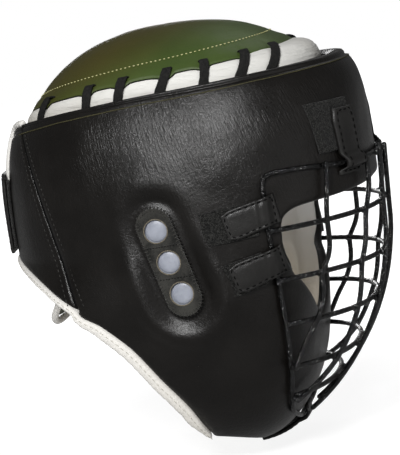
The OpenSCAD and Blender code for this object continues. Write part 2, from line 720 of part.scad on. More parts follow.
// Side tabs: a height, a slope and an extra lift for each, then stations from its sewn end backwards
upper_tab = [20, 13, 0];
lower_tab = [-14, 15, 0.7];
function tab_stations(back) = [-side_tab_front, -4.6, -1.8, 1.8, 5.2, mix(5.2, back, 0.4), mix(5.2, back, 0.75), back];
function tab_shear(u) = lookup(u, [[-side_tab_front, 0.6], [-4.6, 0], [5.2, 0], [16, 1]]);
function side_tab_point(tab, u, v, lift) = let (
    x = side_bar_x - u * cos(tab[1]) - v * sin(tab[1]) * tab_shear(u),
    z = tab[0] - u * sin(tab[1]) + v * cos(tab[1])
) on_side(x, z, -lift - tab[2]);
function side_tab_face(tab, extra) = [for (u = tab_stations(side_tab_back))
    let (narrow = u == side_tab_back ? 1.5 : 0)
    [for (j = [0:3]) side_tab_point(tab, u, mix(-tab_w / 2 + narrow, tab_w / 2 - narrow, j / 3),
        tab_lift(u, stand + wire_r + clear, -patch_top + clear) + extra)]];
module side_tab(tab) {
    color("#20201f") sheet(side_tab_face(tab, 0), side_tab_face(tab, tab_t));
}
module side_tab_upper_left() {
    side_tab(upper_tab);
}
module side_tab_upper_right() {
    mirror([0, 1, 0]) side_tab(upper_tab);
}
module side_tab_lower_left() {
    side_tab(lower_tab);
}
module side_tab_lower_right() {
    mirror([0, 1, 0]) side_tab(lower_tab);
}

function side_patch_face(tab, u0, u1, d) = [for (i = [0:4]) let (u = mix(u0, u1, i / 4))
    [for (j = [0:3]) side_tab_point(tab, u, mix(-11, 11, j / 3), -d)]];
module side_patch(tab, u0, u1) {
    color("#3a3a38") sheet(side_patch_face(tab, u0, u1, patch_d), side_patch_face(tab, u0, u1, patch_top));
}
upper_patch = [17, 4, 0];
lower_patch = [-15, 12, 0.7];
module side_patch_upper_left() {
    side_patch(upper_patch, 6.4, 42);
}
module side_patch_upper_right() {
    mirror([0, 1, 0]) side_patch_upper_left();
}
module side_patch_lower_left() {
    side_patch(lower_patch, 6.4, 36);
}
module side_patch_lower_right() {
    mirror([0, 1, 0]) side_patch_lower_left();
}

// Forehead tabs are sewn below the top bar and close upwards
fore_tab_span = tab_w * 0.84;
fore_lift = stand + wire_r + clear + 1.3;
fore_stations = [-side_tab_front, -4.8, -1.8, 1.8, 5.6, mix(5.6, fore_tab_up, 0.35),
    mix(5.6, fore_tab_up, 0.7), fore_tab_up];
function fore_tab_face(extra) = [for (u = fore_stations) let (narrow = u == fore_tab_up ? 1.5 : 0)
    [for (j = [0:3]) on_front(mix(fore_tab_y + fore_tab_span - narrow, fore_tab_y + narrow, j / 3),
        top_bar_z + u - top_drop * (1 - ease((u - 2) / 12)),
        -tab_lift(u, fore_lift, -patch_top + clear) - extra)]];
module forehead_tab_left() {
    color("#20201f") sheet(fore_tab_face(0), fore_tab_face(tab_t));
}
module forehead_tab_right() {
    mirror([0, 1, 0]) forehead_tab_left();
}
function fore_patch_face(d) = [for (i = [0:4])
    [for (j = [0:4]) on_front(mix(fore_tab_y + fore_tab_span + 9, fore_tab_y, j / 4),
        top_bar_z + mix(6, fore_tab_up + 6, i / 4), d)]];
module forehead_patch_left() {
    color("#3a3a38") sheet(fore_patch_face(patch_d), fore_patch_face(patch_top));
}
module forehead_patch_right() {
    mirror([0, 1, 0]) forehead_patch_left();
}

// Chin tab is sewn in front of the bottom bar and closes backwards under the chin
function chin_place(u) = rise_under(u, asin(bottom_bar_z / (chin_z + stand)));
// Distance along the chin's middle line, walked in short steps of rise angle
function chin_at(w, d) = shell(0, w, d);
function walk(w, left, step) = left <= 0 || w < -88.4 ? w
    : walk(w - step, left - norm(chin_at(w - step, 0) - chin_at(w, 0)), step);
function walk_up(w, left, step) = left <= 0 ? w
    : walk_up(w + step, left - norm(chin_at(w + step, 0) - chin_at(w, 0)), step);
function rise_under(u, w0) = u < 0 ? walk_up(w0, -u, 0.05) : walk(w0, u, 0.05);
function chin_tab_row(u, lift) = let (w = chin_place(u), z = height_at(w, -lift))
    [for (j = [0:3]) let (y = mix(-tab_w / 2, tab_w / 2, j / 3)) on_front(y, z, -lift)];
chin_stations = [-side_tab_front, -4.8, -1.8, 1.8, 5.6, mix(5.6, chin_tab_back, 0.5), chin_tab_back];
function chin_lift(u) = tab_lift(u, stand + wire_r + clear, -patch_top + 2 * clear);
module chin_tab() {
    color("#20201f") sheet(
        [for (u = chin_stations) chin_tab_row(u, chin_lift(u))],
        [for (u = chin_stations) chin_tab_row(u, chin_lift(u) + tab_t)]
    );
}
module chin_patch() {
    color("#3a3a38") sheet(
        [for (i = [0:3]) chin_tab_row(mix(6.4, chin_tab_back, i / 3), -patch_d)],
        [for (i = [0:3]) chin_tab_row(mix(6.4, chin_tab_back, i / 3), -patch_top)]
    );
}

// Back closure: the flap is sewn on the left and closes to the right

function flap_lift(y) = lookup(y, [[-60, -patch_top + 0.5], [-2, -patch_top + 0.5], [6, 0.5], [60, 0.5]]);
function flap_face(extra) = [for (i = [0:8]) let (y = mix(-flap_w / 2, flap_w / 2, i / 8),
    round = i == 0 || i == 8 ? 3 : 0)
    [for (j = [0:4]) on_back(y, mix(flap_low_z + round, flap_top_z - round, j / 4), -flap_lift(y) - extra)]];
module rear_flap() {
    color("#20201f") sheet(flap_face(tab_t), flap_face(0));
}
function rear_patch_face(d) = [for (i = [0:3])
    [for (j = [0:4]) on_back(mix(-flap_w / 2 - 4, -4, i / 3), mix(flap_low_z + 5, flap_top_z - 5, j / 4), d)]];
module rear_patch() {
    color("#3a3a38") sheet(rear_patch_face(patch_top), rear_patch_face(patch_d));
}

// The tongue hangs inside the back and shows below its edge
tongue_t = 5;
function tongue_depth(z) = mix(inside_d + 1.4, inside_d - 8, ease((-z - 26) / 24));
function tongue_face(extra) = [for (i = [0:8]) let (q = i / 4 - 1, y = q * tongue_w / 2)
    [for (j = [0:6]) let (
        low = tongue_low_z * (1 - 0.45 * pow(abs(q), 3)),
        z = mix(low, 48, j / 6)
    ) on_back(y, z, tongue_depth(z) + extra)]];
module neck_tongue() {
    color("#4b5a2e") sheet(tongue_face(0), tongue_face(tongue_t));
}
module tongue_binding() {
    color("#e6e2d6") {
        path = [for (i = [0:8]) let (q = i / 4 - 1, y = q * tongue_w / 2,
            z = tongue_low_z * (1 - 0.45 * pow(abs(q), 3)) - 3.9) on_back(y, z, tongue_depth(z) + tongue_t / 2)];
        bar(path, 5, 6);
    }
}

front_cover();
rear_cover_right();
rear_cover_left();
forehead_pad();
side_pad_right();
side_pad_left();
chin_pad();
rear_pad_right();
rear_pad_left();
front_lining();
rear_lining();
edge_band();
bottom_binding();
crown_cover();
crown_pad();
crown_lining();
crown_lace();
ear_patch_right();
ear_patch_left();
ear_insert_right();
ear_insert_left();
cage_rim_wire();
cage_bar_1();
cage_bar_2();
cage_bar_3();
cage_bar_4();
cage_bar_5();
cage_middle_uprights();
cage_inner_uprights();
cage_outer_uprights();
forehead_patch_right();
forehead_patch_left();
forehead_tab_right();
forehead_tab_left();
side_patch_upper_right();
side_patch_upper_left();
side_patch_lower_right();
side_patch_lower_left();
side_tab_upper_right();
side_tab_upper_left();
side_tab_lower_right();
side_tab_lower_left();
chin_patch();
chin_tab();
rear_flap();
rear_patch();
neck_tongue();
tongue_binding();
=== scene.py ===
import math

import bmesh
import bpy
from mathutils import Matrix, Vector, noise


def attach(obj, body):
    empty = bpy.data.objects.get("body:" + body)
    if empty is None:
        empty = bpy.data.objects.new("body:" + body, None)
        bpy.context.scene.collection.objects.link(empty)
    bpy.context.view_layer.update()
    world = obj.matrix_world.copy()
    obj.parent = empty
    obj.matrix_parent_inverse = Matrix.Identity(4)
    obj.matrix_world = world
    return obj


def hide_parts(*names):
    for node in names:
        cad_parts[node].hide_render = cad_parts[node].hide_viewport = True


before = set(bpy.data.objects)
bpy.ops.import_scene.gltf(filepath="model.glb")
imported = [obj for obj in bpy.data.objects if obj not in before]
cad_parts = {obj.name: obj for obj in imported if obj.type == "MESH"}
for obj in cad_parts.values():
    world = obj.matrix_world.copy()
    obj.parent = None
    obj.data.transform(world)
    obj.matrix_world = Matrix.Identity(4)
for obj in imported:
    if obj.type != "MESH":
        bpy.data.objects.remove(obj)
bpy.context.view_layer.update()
mm = 0.001

# camera, made first
view = dict(azimuth=12.3, elevation=7.6, roll=9.1, reach=1.5, pixels=1440, frameHeight=455, middleRow=232)


def addCamera():
    a, e, r = (math.radians(view[k]) for k in ("azimuth", "elevation", "roll"))
    back = Vector((math.sin(a) * math.cos(e), -math.cos(a) * math.cos(e), math.sin(e)))
    right = Vector((math.cos(a), math.sin(a), 0))
    up = back.cross(right)
    across = right * math.cos(r) - up * math.sin(r)
    over = right * math.sin(r) + up * math.cos(r)
    data = bpy.data.cameras.new("frontQuarter")
    data.lens = view["pixels"] * view["reach"] * data.sensor_width / view["frameHeight"]
    data.shift_y = (view["middleRow"] - view["frameHeight"] / 2) / view["frameHeight"]
    data.clip_start, data.clip_end = 0.05, 60
    camera = bpy.data.objects.new("frontQuarter", data)
    bpy.context.scene.collection.objects.link(camera)
    turned = Matrix((across, over, back)).transposed().to_4x4()
    camera.matrix_world = Matrix.Translation(back * view["reach"]) @ turned
    bpy.context.scene.camera = camera


addCamera()
bpy.context.scene.view_settings.view_transform = "Standard"
print("camera set")


# shader helpers
class Amount:
    # one shader value: sums on it become Math nodes
    def __init__(self, wiring, socket):
        self.wiring, self.socket = wiring, socket

    def sum(self, operation, first, second=0.0):
        return self.wiring.node("Math", dict(operation=operation), {0: first, 1: second})

    def __add__(self, other):
        return self.sum("ADD", self, other)

    __radd__ = __add__

    def __sub__(self, other):
        return self.sum("SUBTRACT", self, other)

    def __rsub__(self, other):
        return self.sum("SUBTRACT", other, self)

    def __mul__(self, other):
        return self.sum("MULTIPLY", self, other)

    __rmul__ = __mul__

    def sine(self):
        return self.sum("SINE", self)

    def ramp(self, low, high):
        return self.wiring.node("MapRange", dict(interpolation_type="SMOOTHSTEP"),
                                {"Value": self, "From Min": low, "From Max": high})


class Wiring:
    # an emptied node tree and the one way that nodes are added to it
    def __init__(self, tree):
        self.tree = tree
        tree.nodes.clear()

    def feed(self, socket, value):
        if isinstance(value, Amount):
            self.tree.links.new(value.socket, socket)
        elif isinstance(value, (tuple, list)) and len(value) == 3 and len(socket.default_value) == 4:
            socket.default_value = (*value, 1)
        else:
            socket.default_value = value

    def node(self, kind, settings=None, sockets=None, out=0):
        made = self.tree.nodes.new("ShaderNode" + kind)
        for key, value in (settings or {}).items():
            if key == "stops":
                stops = made.color_ramp.elements
                stops.remove(stops[1])
                stops[0].position, stops[0].color = value[0][0], (*value[0][1], 1)
                for place, colour in value[1:]:
                    stops.new(place).color = (*colour, 1)
            else:
                setattr(made, key, value)
        for key, value in (sockets or {}).items():
            self.feed(made.inputs[key], value)
        return Amount(self, made.outputs[out]) if made.outputs else made


class Finish(Wiring):
    # a material with one Principled shader, its skin
    def __init__(self, name, **fixed):
        self.material = bpy.data.materials.new(name)
        self.material.use_nodes = True
        super().__init__(self.material.node_tree)
        self.shader = self.node("BsdfPrincipled", None, {key.replace("_", " "): fixed[key] for key in fixed})
        self.skin = self.shader.socket.node
        self.end = self.node("OutputMaterial", None, {0: self.shader})
        self.spot = self.node("TexCoord", out=3)

    def scaled(self, x, y, z):
        return self.node("VectorMath", dict(operation="MULTIPLY"), {0: self.spot, 1: (x, y, z)})

    def speckle(self, scale, detail=3.0, roughness=0.55, where=None):
        sockets = {"Vector": where or self.spot, "Scale": scale, "Detail": detail, "Roughness": roughness}
        return self.node("TexNoise", None, sockets)

    def cells(self, scale):
        return self.node("TexVoronoi", None, {"Vector": self.spot, "Scale": scale})

    def part(self, axis):
        return self.node("SeparateXYZ", None, {0: self.spot}, out="XYZ".index(axis))

    def blend(self, share, first, second):
        return self.node("Mix", dict(data_type="RGBA"), {0: share, 6: first, 7: second}, out=2)

    def colour(self, value):
        self.feed(self.skin.inputs["Base Color"], value)

    def rough(self, value):
        self.feed(self.skin.inputs["Roughness"], value)

    def relief(self, height, distance):
        bump = self.node("Bump", None, {"Height": height, "Distance": distance, "Strength": 1.0})
        self.feed(self.skin.inputs["Normal"], bump)


def leather(name, dark, light, roughness=0.5, pore=950, grainDepth=0.00016, folds=None, **fixed):
    f = Finish(name, **fixed)
    cloud = f.speckle(28, 4)
    fine = f.speckle(620, 5, 0.6)
    pores = f.cells(pore)
    f.colour(f.blend(cloud.ramp(0.32, 0.7), dark, light))
    f.rough(roughness + (fine - 0.5) * 0.22 + (cloud - 0.5) * 0.14)
    height = pores * 0.55 + fine * 0.7
    if folds:
        height = height + folds(f)
    f.relief(height, grainDepth)
    return f


def gatheredFolds(f):
    # creases that fan down from the shell's sewn top edge
    x, y, z = (f.part(axis) for axis in "XYZ")
    turn = f.node("Math", dict(operation="ARCTAN2"), {0: y * 1.25, 1: x})
    fan = f.node("CombineXYZ", None, {0: turn * 0.1 + z * 0.22, 1: z * 0.085 - turn * 0.012, 2: 0.0})
    long = f.speckle(900, 3, 0.5, fan)
    fine = f.speckle(1500, 2, 0.5, fan)
    near = z.ramp(-0.01, 0.085)
    patchy = f.speckle(16, 3).ramp(0.36, 0.62)
    return (long * 2.9 + fine * 1.5) * near * patchy + f.speckle(330, 4, 0.6) * 1.5


shellLeather = leather("shellLeather", (0.0054, 0.0046, 0.0039), (0.0086, 0.0075, 0.0065), 0.32,
                       pore=1700, grainDepth=0.00013, folds=gatheredFolds, Specular_IOR_Level=0.36)
# the tabs' black leather, about twice as light as the shell's: painted sheen of the light on the tabs
sheenedStrapLeather = leather("sheenedStrapLeather", (0.0115, 0.0110, 0.0103), (0.0185, 0.0178, 0.0168), 0.38, pore=1300,
                       Specular_IOR_Level=0.4)
tongueLeather = leather("tongueLeather", (0.055, 0.066, 0.024), (0.10, 0.115, 0.045), 0.5)


def crownFinish():
    f = Finish("crownLeather", Specular_IOR_Level=0.28)
    z = f.part("Z")
    cloud = f.speckle(17, 4)
    side = f.blend(cloud.ramp(0.3, 0.7), (0.046, 0.076, 0.015), (0.062, 0.098, 0.022))
    top = f.blend(cloud.ramp(0.3, 0.7), (0.056, 0.050, 0.008), (0.070, 0.060, 0.013))
    f.colour(f.blend((z - f.part("X") * 0.38 + (cloud - 0.5) * 0.014).ramp(0.116, 0.150), side, top))
    fine = f.speckle(700, 4)
    f.rough(0.47 + (fine - 0.5) * 0.2)
    f.relief(f.cells(1200) * 0.5 + fine * 0.5 + f.speckle(60, 3) * 2.2, 0.00016)
    return f


def whiteFinish(name, top, low, zLow, zHigh, crease=1.0):
    f = Finish(name, Specular_IOR_Level=0.35)
    z = f.part("Z")
    stain = f.speckle(24, 4)
    # body is lighter at the top and darker, tanner low down; on the lining this low tone is partly the leather's own
    # and partly painted shade
    body = f.blend(z.ramp(zLow, zHigh), low, top)
    f.colour(f.blend(stain.ramp(0.45, 0.85) * 0.5, body, tuple(v * 0.8 for v in low)))
    fine = f.speckle(520, 4)
    lines = f.speckle(90, 5, 0.62, f.scaled(0.35, 0.35, 3.0))
    f.rough(0.5 + (fine - 0.5) * 0.2)
    f.relief(fine * 0.5 + lines * 3.4 * crease, 0.00022)
    return f


def suedeFinish():
    f = Finish("earSuede", Sheen_Weight=0.35, Sheen_Roughness=0.5, Specular_IOR_Level=0.2)
    nap = f.speckle(1500, 4, 0.7)
    cloud = f.speckle(70, 4)
    f.colour(f.blend((nap * 0.4 + cloud * 0.6).ramp(0.38, 0.62), (0.008, 0.0081, 0.0072), (0.044, 0.043, 0.038)))
    f.rough(0.9 + (nap - 0.5) * 0.15)
    f.relief(nap + cloud * 0.8, 0.0003)
    return f


def pileFinish():
    f = Finish("loopPile", Sheen_Weight=0.1, Specular_IOR_Level=0.15)
    loops = f.speckle(1100, 3, 0.8)
    f.colour(f.blend(loops.ramp(0.42, 0.66), (0.004, 0.004, 0.0038), (0.046, 0.046, 0.043)))
    f.rough(0.95 + (loops - 0.5) * 0.05)
    f.relief(loops + f.cells(1400) * 0.8, 0.0007)
    return f


def dipFinish():
    f = Finish("dipCoat", Specular_IOR_Level=0.6)
    beads = f.speckle(420, 2, 0.5)
    f.colour(f.blend(beads.ramp(0.3, 0.8), (0.0028, 0.0028, 0.003), (0.006, 0.006, 0.006)))
    f.rough(0.11 + (beads - 0.5) * 0.16)
    f.relief(beads, 0.003)
    return f


def laceFinish():
    f = Finish("flatLace", Specular_IOR_Level=0.25)
    weave = (f.part("X") * 5200).sine() * (f.part("Z") * 5200 + f.part("Y") * 3000).sine()
    fluff = f.speckle(900, 3)
    f.colour(f.blend(fluff.ramp(0.3, 0.75), (0.006, 0.006, 0.006), (0.022, 0.021, 0.020)))
    f.rough(0.82 + (fluff - 0.5) * 0.2)
    f.relief(weave * 0.35 + fluff, 0.0003)
    return f


def plasticFinish():
    f = Finish("earPlastic", Specular_IOR_Level=0.5, Subsurface_Weight=0.15,
               Subsurface_Radius=(0.004, 0.004, 0.005), Subsurface_Scale=0.6)
    haze = f.speckle(130, 4)
    f.colour(f.blend(haze.ramp(0.3, 0.75), (0.30, 0.32, 0.375), (0.37, 0.39, 0.45)))
    f.rough(0.34 + (haze - 0.5) * 0.2)
    f.relief(f.speckle(420, 3), 0.00012)
    return f


def threadFinish(name, dark, light, shine=0.3):
    f = Finish(name, Specular_IOR_Level=shine)
    twist = f.speckle(1700, 3)
    f.colour(f.blend(twist.ramp(0.35, 0.65), dark, light))
    f.rough(0.7 + (twist - 0.5) * 0.2)
    f.relief(twist, 0.0002)
    return f


crownLeather = crownFinish()
bandLeather = whiteFinish("bandLeather", (0.84, 0.83, 0.79), (0.74, 0.70, 0.62), 0.085, 0.112, 2.4)
bindingLeather = whiteFinish("bindingLeather", (0.90, 0.88, 0.84), (0.83, 0.80, 0.74), -0.14, 0.02)
# the lining turns tan low down: partly the leather's tone, partly painted shade
liningLeather = whiteFinish("liningLeather", (0.93, 0.92, 0.90), (0.90, 0.80, 0.65), -0.075, 0.02, 0.35)
earSuede = suedeFinish()
loopPile = pileFinish()
dipCoat = dipFinish()
flatLace = laceFinish()
earPlastic = plasticFinish()
eyeletRim = threadFinish("eyeletRim", (0.10, 0.085, 0.060), (0.24, 0.21, 0.155))
paleThread = threadFinish("paleThread", (0.42, 0.40, 0.17), (0.68, 0.66, 0.36))
# near-black: the stitches' thread, and also the painted shade of the tubes along the crown's edge and in the rear seams
darkThreadAndShade = threadFinish("darkThreadAndShade", (0.0008, 0.0008, 0.0008), (0.004, 0.004, 0.004), 0.1)
whipThread = threadFinish("whipThread", (0.018, 0.018, 0.016), (0.06, 0.058, 0.052))
greyThread = threadFinish("greyThread", (0.010, 0.010, 0.0095), (0.05, 0.048, 0.044))
oliveThread = threadFinish("oliveThread", (0.035, 0.032, 0.012), (0.085, 0.078, 0.034))
whiteThread = threadFinish("whiteThread", (0.55, 0.53, 0.47), (0.74, 0.72, 0.66))
print("finishes made")

# the head form, in millimetres: a is the angle round the head, w a rise angle, d a depth
form = dict(foreX=128, rearX=126, halfW=100, domeZ=150, rearZ=120, browZ=119, chinX=81, chinZ=146,
            rimFront=113, rimRear=88, napeZ=4, seamLowX=-70, seamLowZ=-29, seamTopA=151, seamGap=0.12,
            crownZ=146, openAngle=60, brow=24, openDown=68, jawT=9 / 25, seamT=13 / 25)
layers = dict(cover=1.4, gap=0.3, foam=17.6, lining=1.2, mouthLip=6)
liningD = layers["cover"] + layers["foam"] + 2 * layers["gap"]
insideD = liningD + layers["lining"]


def mix(a, b, t):
    return a + (b - a) * t


def ease(t):
    c = min(max(t, 0.0), 1.0)
    return c * c * (3 - 2 * c)


def power(v, e):
    return v ** e if v > 0 else 0.0


def sweep(u, m):
    return power(1 - min(abs(u), 1) ** m, 1 / m)


def sind(a):
    return math.sin(math.radians(a))


def cosd(a):
    return math.cos(math.radians(a))


def asind(v):
    return math.degrees(math.asin(min(max(v, -1), 1)))


def straight(x, table):
    if x <= table[0][0]:
        return table[0][1]
    for (x0, y0), (x1, y1) in zip(table, table[1:]):
        if x <= x1:
            return mix(y0, y1, (x - x0) / (x1 - x0))
    return table[-1][1]


def curved(x, table):
    # a smooth line through a table's points that never overshoots them
    if x <= table[0][0] or x >= table[-1][0]:
        return straight(x, table)
    slopes = [(q[1] - p[1]) / (q[0] - p[0]) for p, q in zip(table, table[1:])]

    def lean(i):
        if i == 0 or i == len(slopes):
            return slopes[min(i, len(slopes) - 1)]
        u, v = slopes[i - 1], slopes[i]
        return 0 if u * v <= 0 else 2 * u * v / (u + v)

    for i, ((x0, y0), (x1, y1)) in enumerate(zip(table, table[1:])):
        if x <= x1:
            w = x1 - x0
            t = (x - x0) / w
            return (y0 * (1 + 2 * t) * (1 - t) ** 2 + y1 * t * t * (3 - 2 * t)
                    + w * (lean(i) * t * (1 - t) ** 2 - lean(i + 1) * t * t * (1 - t)))
    return table[-1][1]


def trueZ(z, d):
    return z * form["chinZ"] / (form["chinZ"] - d) if z < 0 else z


def sideAt(z, d):
    f = sweep(z / (form["chinZ"] - d), 3.1) if z < 0 else sweep(z / (form["domeZ"] - d), 2.6)
    return (form["halfW"] - d) * f


def backAt(z, d):
    f = sweep(z / (form["chinZ"] - d), 2.7) if z < 0 else sweep(z / (form["rearZ"] - d), 4)
    return (form["rearX"] - d) * f


def frontAt(z, d):
    reach = mix(form["foreX"], form["chinX"], ease((5 - trueZ(z, d)) / 35)) - d
    return reach * (sweep(z / (form["chinZ"] - d), 3) if z < 0 else sweep(z / (form["browZ"] - d), 8))


def squareAt(z, d):
    return mix(2.3, 3.2, ease((5 - trueZ(z, d)) / 40))


def heightAt(w, d):
    return ((form["chinZ"] if w < 0 else form["domeZ"]) - d) * sind(w)


def riseOf(z):
    return asind(z / form["chinZ"]) if z < 0 else asind(z / form["domeZ"])


def shell(a, w, d):
    z = heightAt(w, d)
    n = squareAt(z, d)
    reach = -backAt(z, d) if cosd(a) < 0 else frontAt(z, d)
    return (reach * power(1 - power(abs(sind(a)), n), 1 / n), sideAt(z, d) * sind(a), z)


def angleAt(x, z):
    n = squareAt(z, 0)
    q = asind(power(1 - min(abs(x) / (backAt(z, 0) if x < 0 else frontAt(z, 0)), 1) ** n, 1 / n))
    return 180 - q if x < 0 else q


def onSide(x, z, d):
    n = squareAt(z, d)
    reach = backAt(z, d) if x < 0 else frontAt(z, d)
    return (x, sideAt(z, d) * power(1 - min(abs(x) / reach, 1) ** n, 1 / n), z)


def onFront(y, z, d):
    n = squareAt(z, d)
    return (frontAt(z, d) * power(1 - min(abs(y) / sideAt(z, d), 1) ** n, 1 / n), y, z)


def onBack(y, z, d):
    n = squareAt(z, d)
    return (-backAt(z, d) * power(1 - min(abs(y) / sideAt(z, d), 1) ** n, 1 / n), y, z)


def crown(a, w, d):
    z = (form["crownZ"] - d) * sind(w)
    q = sweep(sind(w), 2.4)
    reach = (d + 2 - form["rearX"]) if cosd(a) < 0 else (form["foreX"] - d)
    return (reach * q * power(1 - power(abs(sind(a)), 2.3), 1 / 2.3), (form["halfW"] - d) * q * sind(a), z)


def crownRise(z):
    return asind(z / form["crownZ"])


def rimZ(a):
    return mix(form["rimFront"], form["rimRear"], (abs(a) / 180) ** 2)


def rimW(a):
    return riseOf(rimZ(a))


def napeW(a):
    share = power((180 - abs(a)) / (180 - form["seamLowA"]), 2.3)
    return riseOf(mix(form["napeZ"], form["seamLowZ"], share))


form["seamLowA"] = angleAt(form["seamLowX"], form["seamLowZ"])
form["seamTopX"] = shell(form["seamTopA"], rimW(form["seamTopA"]), 0)[0]


def seamW(v):
    return mix(napeW(form["seamLowA"]), rimW(form["seamTopA"]), v)


def seamA(v):
    if v >= 1:
        return form["seamTopA"]
    return angleAt(mix(form["seamLowX"], form["seamTopX"], v), heightAt(seamW(v), 0))


jawX = [(0.3, 2), (0.42, -7), (0.57, -22), (0.72, -38), (0.85, -56), (1, -70)]
jawZ = [(0, -144.5), (0.15, -142), (0.3, -131), (0.42, -107), (0.57, -83), (0.72, -59), (0.85, -41.5), (1, -29)]
mouthA = [(0, 0), (0.08, 0.177), (0.125, 0.255), (0.215, 0.44), (0.285, 0.58), (0.375, 0.81), (0.435, 0.963),
          (0.475, 1), (0.5, 1), (0.53, 0.985), (0.555, 0.95), (0.585, 0.893), (0.62, 0.82), (0.7, 0.66), (1, 0)]
mouthLow = [(0, 1), (0.08, 0.91), (0.125, 0.81), (0.215, 0.61), (0.285, 0.47), (0.375, 0.287), (0.435, 0.128),
            (0.475, 0)]
mouthHigh = [(0.475, 0), (0.5, 0.26), (0.53, 0.54), (0.555, 0.7), (0.585, 0.8), (0.62, 0.84), (0.7, 0.88), (1, 1)]


def jawA(q):
    if q < 0.3:
        return angleAt(2, curved(0.3, jawZ)) * power(q / 0.3, 0.9)
    return mix(angleAt(curved(q, jawX), curved(q, jawZ)), form["seamLowA"], ease((q - 0.85) / 0.15))


def mouth(t):
    m = straight(t, [(0, 0), (form["jawT"], 0.465), (form["seamT"], 0.57), (1, 1)])
    z = -form["openDown"] * curved(m, mouthLow) if m < 0.475 else form["brow"] * curved(m, mouthHigh)
    return form["openAngle"] * curved(m, mouthA), riseOf(z)


def outer(t):
    jawT, seamT, gap = form["jawT"], form["seamT"], form["seamGap"]
    if t < jawT:
        return jawA(t / jawT), riseOf(curved(t / jawT, jawZ))
    if t < seamT:
        v = (t - jawT) / (seamT - jawT)
        return seamA(v) - gap, seamW(v)
    a = form["seamTopA"] * (1 - (t - seamT) / (1 - seamT))
    return a - gap * a / form["seamTopA"], rimW(a)


bothSides = ((1, "left"), (-1, "right"))


def flip(p):
    return (p[0], -p[1], p[2])


def mirrored(side, path):
    return path if side > 0 else [flip(p) for p in path]


def frontPoint(t, s, d):
    h = abs(t)
    i, o = mouth(h), outer(h)
    p = shell(0 if h in (0, 1) else mix(i[0], o[0], s), mix(i[1], o[1], s), d)
    return flip(p) if t < 0 else p


def away(p, q):
    return math.dist(p, q)


# mesh helpers
def surface(name, columns, ring=False, loop=False, caps=False, weld=0.0):
    # quads over columns of points in millimetres; loop closes each column, ring joins the last to the first
    n, m = len(columns[0]), len(columns)
    verts = [[c * mm for c in p] for column in columns for p in column]
    faces = [(i * n + j, (i + 1) % m * n + j, (i + 1) % m * n + (j + 1) % n, i * n + (j + 1) % n)
             for i in range(m if ring else m - 1) for j in range(n if loop else n - 1)]
    if caps:
        faces += [tuple(range(n)), tuple(reversed(range((m - 1) * n, m * n)))]
    return solid(name, verts, faces, weld)


def solid(name, verts, faces, weld=0.0):
    data = bpy.data.meshes.new(name)
    data.from_pydata(verts, [], faces)
    bm = bmesh.new()
    bm.from_mesh(data)
    if weld:
        bmesh.ops.remove_doubles(bm, verts=bm.verts, dist=weld * mm)
    bmesh.ops.recalc_face_normals(bm, faces=bm.faces)
    bm.to_mesh(data)
    bm.free()
    data.polygons.foreach_set("use_smooth", [True] * len(data.polygons))
    piece = bpy.data.objects.new(name, data)
    bpy.context.scene.collection.objects.link(piece)
    return piece


def dress(piece, finish, slot, body, *replaced):
    piece.data.materials.append(finish.material)
    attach(piece, body)
    if replaced:
        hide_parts(*replaced)
    return piece


def lengths(path):
    total = [0.0]
    for p, q in zip(path, path[1:]):
        total.append(total[-1] + away(p, q))
    return total


def evenly(path, step, closed=False):
    # the same line with points a step apart
    path = list(path) + ([path[0]] if closed else [])
    run = lengths(path)
    count = max(int(round(run[-1] / step)), 2)
    points, k = [], 0
    for i in range(count if closed else count + 1):
        want = run[-1] * i / count
        while k < len(run) - 2 and run[k + 1] < want:
            k += 1
        share = (want - run[k]) / max(run[k + 1] - run[k], 1e-9)
        points.append(tuple(mix(u, v, share) for u, v in zip(path[k], path[k + 1])))
    return points


def softened(path, rounds, closed=False):
    n = len(path)
    for _ in range(rounds):
        path = [path[i] if not closed and i in (0, n - 1) else
                tuple((path[i - 1][c] + 2 * path[i][c] + path[(i + 1) % n][c]) / 4 for c in range(3))
                for i in range(n)]
    return path


def framesOn(path, closed=False, middle=(10, 0, -10)):
    # along, across and out at each point of a line
    n = len(path)
    for i, p in enumerate(path):
        before = path[i - 1] if i or closed else p
        after = path[(i + 1) % n] if i < n - 1 or closed else p
        along = (Vector(after) - Vector(before)).normalized()
        across = along.cross(Vector(p) - Vector(middle)).normalized()
        yield Vector(p), along, across, across.cross(along)


def tube(name, path, radius, closed=False, sides=14, swell=None):
    # a round line; swell gives each point's extra radius
    columns = []
    for p, _, across, out in framesOn(path, closed):
        r = radius + (swell(p) if swell else 0)
        columns.append([p + r * (cosd(360 * k / sides) * out + sind(360 * k / sides) * across) for k in range(sides)])
    if not closed:
        first, last = Vector(path[0]), Vector(path[-1])
        u, v = (first - Vector(path[1])).normalized(), (last - Vector(path[-2])).normalized()
        start, end = columns[0], columns[-1]
        for share, lift in ((0.8, 0.55), (0.35, 0.9)):
            columns.insert(0, [first + (q - first) * share + u * radius * lift for q in start])
            columns.append([last + (q - last) * share + v * radius * lift for q in end])
    return surface(name, columns, ring=closed, loop=True, caps=not closed)


